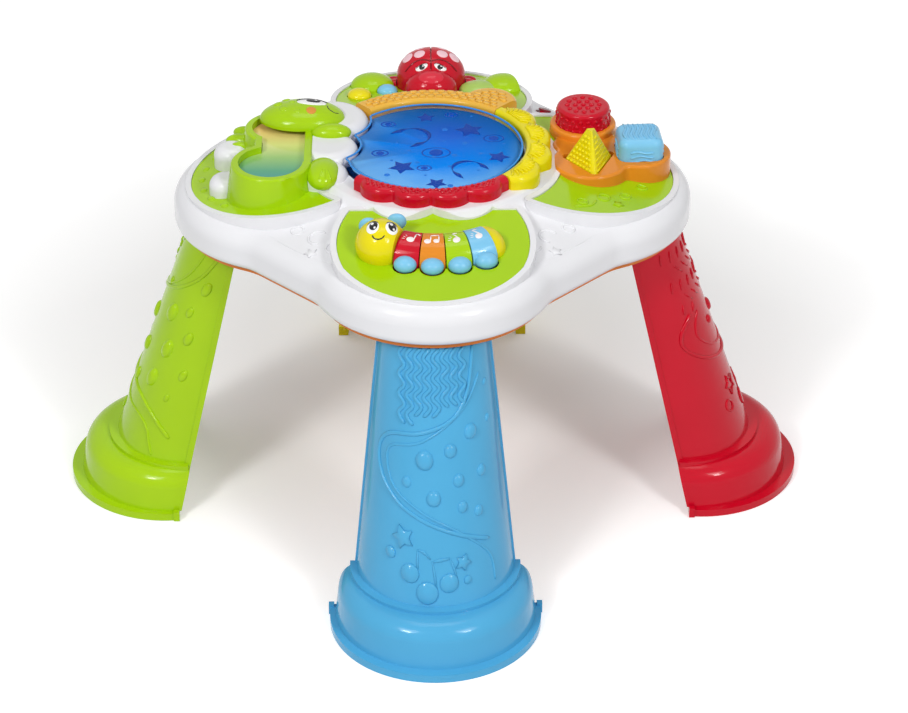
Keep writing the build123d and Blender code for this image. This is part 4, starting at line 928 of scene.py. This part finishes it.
def make_print(finishes):
    """Night-sky print under the drum skin: moons, stars and ringed dots."""
    edge = disc_edge(89.0, 3.9)
    plate = Relief(flat_surface(SHEET_Z))
    plate.stack([(edge, -0.5), (edge, 0.5)], (10, 0, 0.5))
    # The sheet's finish carries the painted reflection, paler towards the front and left rim.
    sheet = plate.build("print_sheet", finishes, "drum_print", "drum")
    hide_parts("drum_print")
    rim = Relief(flat_surface(DRUM_RIM_Z))
    rim.stroke(disc_edge(90.2, 2.6), 2.4, 0.9, closed=True)
    rim.build("drum_rim", finishes, "rim_blue", "drum")
    top = flat_surface(PRINT_Z)
    dark = Relief(top)
    stars = [
        (38, 40, 15, 0.2), (-30, -38, 14, 0.5), (66, -18, 12, 0.9), (-6, 68, 10, 0.1), (4, -72, 11, 0.6),
    ]
    for x, y, size, turn in stars:
        dark.plate(star(x, y, size, turn), 0.3)
    for x, y, radius, turn in ((-24, 24, 20, 0.6), (38, -46, 18, 2.2)):
        crescent(dark, x, y, radius, turn)
    dark.build("print_stars", finishes, "print_dark", "drum")
    deep = Relief(top)
    for x, y, radius in ((4, -8, 14), (62, 22, 10), (-52, -8, 8), (-8, -40, 7), (20, 74, 6), (-44, 54, 7)):
        deep.plate(circle(x, y, radius * 0.5, 22), 0.25)
        deep.stroke(circle(x, y, radius, 30, stretch=0.75), 2.0, 0.25, closed=True)
    deep.build("print_rings", finishes, "print_deep", "drum")
    pale = Relief(top)
    for i in range(26):
        angle = i * 2.4
        reach = 12 + 2.9 * i
        x = reach * cos(angle)
        y = reach * sin(angle)
        if x > -58 and reach < 84:
            pale.plate(circle(x, y, 1.6 + (i % 3) * 0.7, 12), 0.2)
    pale.build("print_dots", finishes, "print_pale", "drum")


def make_cylinder_marks(finishes):
    """Dots on the top of the round block and round its side."""
    x, y = CYLINDER_MIDDLE
    dots = Relief(flat_surface(CYLINDER_TOP_Z))
    for ring, count in ((0, 1), (8.2, 6), (16.4, 12)):
        for i in range(count):
            angle = 2 * pi * i / count
            dots.bump(x + ring * cos(angle), y + ring * sin(angle), 2.8, 2.0)
    dots.build("cylinder_top_dots", finishes, "red_plastic", "cylinder_block")

    def side(u, z):
        angle = u / CYLINDER_RADIUS
        return Vector((x + CYLINDER_RADIUS * cos(angle), y + CYLINDER_RADIUS * sin(angle), z))

    studs = Relief(side)
    pitch = 2 * pi * CYLINDER_RADIUS / 22
    for row in range(3):
        for i in range(22):
            studs.bump((i + 0.5 * (row % 2)) * pitch, 372.5 + row * 5.4, 2.1, 1.3, sides=12)
    studs.build("cylinder_side_dots", finishes, "red_plastic", "cylinder_block")


def pyramid_face(first, second):
    """Sloping face of the pyramid between two corner angles."""
    x, y = PYRAMID_MIDDLE

    def corner(angle, radius, z):
        return Vector((x + radius * cos(radians(angle)), y + radius * sin(radians(angle)), z))

    low_a = corner(first, 33.0, 359.0)
    low_b = corner(second, 33.0, 359.0)
    top_a = corner(first, 5.0, 400.0)
    top_b = corner(second, 5.0, 400.0)

    def at(u, v):
        low = low_a + (low_b - low_a) * u
        top = top_a + (top_b - top_a) * u
        return low + (top - low) * v
    return at


def make_pyramid_marks(finishes):
    """Rows of bumps on one face of the pyramid and ribs on the other two."""
    faces = ((157, 277, "bumps"), (277, 397, "ribs"), (37, 157, "ribs"))
    for number, (first, second, kind) in enumerate(faces):
        plane = pyramid_face(first, second)
        origin = plane(0.5, 0.0)
        across = (plane(1.0, 0.0) - plane(0.0, 0.0)).normalized()
        rise = plane(0.5, 1.0) - origin
        height = rise.length
        rise = rise.normalized()

        def flat(u, v, origin=origin, across=across, rise=rise):
            return origin + across * u + rise * v

        relief = Relief(flat)
        rows = 7
        for row in range(rows):
            v = 6.0 + row * (height - 9.0) / rows
            half = 24.5 * (1 - v / height) + 3.2 * v / height - 2.2
            if kind == "bumps":
                count = max(int(half * 2 / 4.6), 1)
                for i in range(count):
                    u = -half + (i + 0.5) * 2 * half / count
                    relief.bump(u, v, 2.0, 1.5, sides=12)
            else:
                relief.stroke([(-half, v), (0, v), (half, v)], 2.6, 1.3)
        relief.build(f"pyramid_face_{number}", finishes, "yellow_plastic", "pyramid_block")


def make_cube_marks(finishes):
    """Waves along the top of the cube and across its sides."""
    middle_x, middle_y = CUBE_MIDDLE
    top = Relief(flat_surface(CUBE_TOP_Z))
    for line in range(7):
        u = -15 + line * 5
        path = []
        for k in range(11):
            v = -16 + 3.2 * k
            path.append((middle_x + u + 1.4 * sin(v / 4.2), middle_y + v))
        top.stroke(path, 2.6, 1.5)
    top.build("cube_top_waves", finishes, "pale_blue", "cube_block")
    for number in range(4):
        angle = radians(CUBE_TURN + 90 * number)

        def side(u, v, angle=angle):
            x = CUBE_HALF * cos(angle) - u * sin(angle)
            y = CUBE_HALF * sin(angle) + u * cos(angle)
            return Vector((middle_x + x, middle_y + y, v))

        waves = Relief(side)
        for row in range(4):
            path = []
            for k in range(12):
                u = -12 + 24 * k / 11
                path.append((u, 360.5 + row * 4.6 + 1.0 * sin(u / 3.4 + row)))
            waves.stroke(path, 2.4, 1.4)
        waves.build(f"cube_side_{number}", finishes, "pale_blue", "cube_block")


def make_table_marks(finishes):
    """Faint raised marks on the white slopes and on the green panels."""
    white = Relief(valley_surface)
    for side in (-1, 1):
        x = side * 112
        white.stroke(circle(x, -128, 9, 20, start=0.6, sweep=4.2), 2.8, 1.5)
        white.stroke(circle(x + side * 20, -112, 6, 18), 2.6, 1.4, closed=True)
        white.stroke(circle(x - side * 14, -146, 6, 18, start=2.0, sweep=4.4), 2.6, 1.4)
        white.plate(star(x + side * 6, -150, 7, turn=0.3), 1.3)
    white.build("slope_marks", finishes, "white_plastic")
    right = Relief(panel_surface(1))
    for x, up, radius in ((-62, 74, 6), (-76, 96, 5), (-54, 52, 5), (-30, 34, 5)):
        right.stroke(circle(x, up, radius, 18), 2.2, 1.3, closed=True)
    right.plate(star(-72, 60, 6, turn=0.4), 1.2)
    right.stroke(smooth([(-88, 104), (-82, 88), (-70, 82)]), 2.6, 1.4)
    right.build("panel_right_marks", finishes, "lime_plastic")
    left = Relief(panel_surface(3))
    for k in range(9):
        angle = radians(195 + k * 15)
        left.bump(86 * cos(angle), 99 + 88 * sin(angle), 3.8, 1.8, stretch=1.3, turn=angle)
    left.build("panel_left_marks", finishes, "lime_plastic")
    back = Relief(panel_surface(2))
    for k in range(7):
        angle = radians(200 + k * 23)
        back.bump(84 * cos(angle), 99 + 86 * sin(angle), 4.0, 1.8, stretch=1.2, turn=angle)
    back.build("panel_back_marks", finishes, "lime_plastic")


def make_switch_cap(finishes):
    """Oval cap with three grip ridges on the volume switch."""
    centre = Vector(SWITCH_MIDDLE)
    along = Vector(SWITCH_WAY)
    across = Vector(SWITCH_ACROSS)

    def at(u, v):
        spot = centre + along * u + across * v
        return valley_surface(spot.x, spot.y) + Vector((0.0, 0.0, 2.4))

    cap = Relief(at)
    low = circle(0, 0, 7.4, 28, stretch=0.62)
    high = circle(0, 0, 6.2, 28, stretch=0.56)
    cap.stack([(low, -1.4), (low, -0.4), (high, 0.3)], (0, 0, 0.4))
    for u in (-2.4, 0.0, 2.4):
        cap.stroke([(u, -2.4), (u, 0.0), (u, 2.4)], 1.2, 1.1)
    cap.build("switch_cap", finishes, "dark_red", "switch")


def make_camera():
    """Camera at the photograph's place, with its framing."""
    forward = Vector((0.0, cos(PITCH), -sin(PITCH)))
    right = Vector((1.0, 0.0, 0.0))
    down = forward.cross(right)
    turned_right = right * cos(ROLL) + down * sin(ROLL)
    turned_down = down * cos(ROLL) - right * sin(ROLL)
    spin = Matrix.Rotation(YAW, 4, "Z")
    matrix = Matrix((turned_right, -turned_down, -forward)).transposed().to_4x4()
    data = bpy.data.cameras.new("camera")
    data.sensor_width = SENSOR_WIDTH
    data.lens = FOCAL_PIXELS * SENSOR_WIDTH / PHOTO_WIDTH
    data.shift_x = (PHOTO_WIDTH / 2 - MIDDLE_COLUMN) / PHOTO_WIDTH
    data.clip_end = 50.0
    camera = add_object("camera", data)
    camera.matrix_world = spin @ Matrix.Translation(Vector(CAMERA_PLACE)) @ matrix
    bpy.context.scene.camera = camera


def shown_rays(nodes, links):
    """Node that gives one for the rays that reach the eye straight, mirrored or through glass."""
    path = nodes.new("ShaderNodeLightPath")
    first = nodes.new("ShaderNodeMath")
    first.operation = "MAXIMUM"
    second = nodes.new("ShaderNodeMath")
    second.operation = "MAXIMUM"
    links.new(path.outputs["Is Camera Ray"], first.inputs[0])
    links.new(path.outputs["Is Glossy Ray"], first.inputs[1])
    links.new(first.outputs[0], second.inputs[0])
    links.new(path.outputs["Is Transmission Ray"], second.inputs[1])
    return second


def make_floor():
    """Pale floor that reads white and keeps the lamps' soft shadow; the light it shows the eye is painted
    weaker near a spot under the back of the table and stronger further out, painting a deeper shadow core
    there and painting out the shadows further away.
    """
    mesh = bpy.data.meshes.new("floor")
    half = 12.0
    corners = [(-half, -half, 0), (half, -half, 0), (half, half, 0), (-half, half, 0)]
    mesh.from_pydata(corners, [], [(0, 1, 2, 3)])
    floor = add_object("floor", mesh)
    floor.location.z = -0.0005
    material, nodes, links = new_material("floor")
    shader = nodes["Principled BSDF"]
    shader.inputs["Base Color"].default_value = (0.82, 0.82, 0.82, 1)
    shader.inputs["Roughness"].default_value = 0.9
    shader.inputs["Specular IOR Level"].default_value = 0.1
    shader.inputs["Emission Color"].default_value = (1, 1, 1, 1)
    coords = nodes.new("ShaderNodeTexCoord")
    away = nodes.new("ShaderNodeVectorMath")
    away.operation = "DISTANCE"
    away.inputs[1].default_value = (0, 0.28, 0)
    # Painted light and shade: shown emission rises from 0.2 near the spot under the table to 0.5 further
    # out.
    glow = add_node(nodes, "MapRange", From_Min=0.2, From_Max=0.62, To_Min=0.2, To_Max=0.5)
    painted_light_level = nodes.new("ShaderNodeMath")
    painted_light_level.operation = "MULTIPLY"
    shown = shown_rays(nodes, links)
    links.new(coords.outputs["Object"], away.inputs[0])
    links.new(away.outputs["Value"], glow.inputs["Value"])
    links.new(glow.outputs["Result"], painted_light_level.inputs[1])
    links.new(shown.outputs[0], painted_light_level.inputs[0])
    links.new(painted_light_level.outputs[0], shader.inputs["Emission Strength"])
    mesh.materials.append(material)


def make_world():
    """Plain white surroundings that light the table less than they show."""
    world = bpy.data.worlds.new("world")
    bpy.context.scene.world = world
    world.use_nodes = True
    nodes = world.node_tree.nodes
    links = world.node_tree.links
    background = nodes["Background"]
    background.inputs["Color"].default_value = (1, 1, 1, 1)
    level = add_node(nodes, "MapRange", To_Min=0.27, To_Max=1.0)
    shown = shown_rays(nodes, links)
    links.new(shown.outputs[0], level.inputs["Value"])
    links.new(level.outputs["Result"], background.inputs["Strength"])


def make_lamp(name, place, target, size, power):
    """Rectangular lamp aimed at a place; metres and watts."""
    data = bpy.data.lights.new(name, "AREA")
    data.shape = "RECTANGLE"
    data.size = size[0]
    data.size_y = size[1]
    data.energy = power
    lamp = add_object(name, data)
    lamp.location = place
    lamp.rotation_mode = "QUATERNION"
    lamp.rotation_quaternion = (Vector(target) - Vector(place)).to_track_quat("-Z", "Y")


def make_lights():
    """Soft lamps from both front sides and above, with a smaller one in each for the highlights."""
    make_lamp("key", (-2.1, -2.9, 3.9), (0, 0, 0.25), (1.6, 1.2), 50)
    make_lamp("key_spot", (-2.2, -3.1, 3.2), (0, 0, 0.25), (0.7, 0.5), 56)
    make_lamp("fill", (2.2, -2.9, 3.6), (0, 0, 0.25), (1.4, 1.2), 40)
    make_lamp("fill_spot", (2.3, -3.1, 2.9), (0, 0, 0.25), (0.6, 0.5), 42)
    make_lamp("top", (0.0, 0.4, 4.6), (0, 0, 0.3), (2.0, 1.6), 26)


def main():
    """Dress the frame's nodes, add the fine details, and set up camera, floor and light."""
    bpy.context.scene.view_settings.view_transform = "Standard"
    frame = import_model()
    finishes = make_materials()
    dress_nodes(frame, finishes)
    squash_springs(frame)
    make_camera()
    make_leg_marks(finishes)
    make_key_notes(finishes)
    make_bug_face(finishes)
    make_ladybird_details(finishes)
    make_dinosaur_details(finishes)
    make_arch_marks(finishes)
    make_print(finishes)
    make_cylinder_marks(finishes)
    make_pyramid_marks(finishes)
    make_cube_marks(finishes)
    make_table_marks(finishes)
    make_switch_cap(finishes)
    make_floor()
    make_world()
    make_lights()


main()
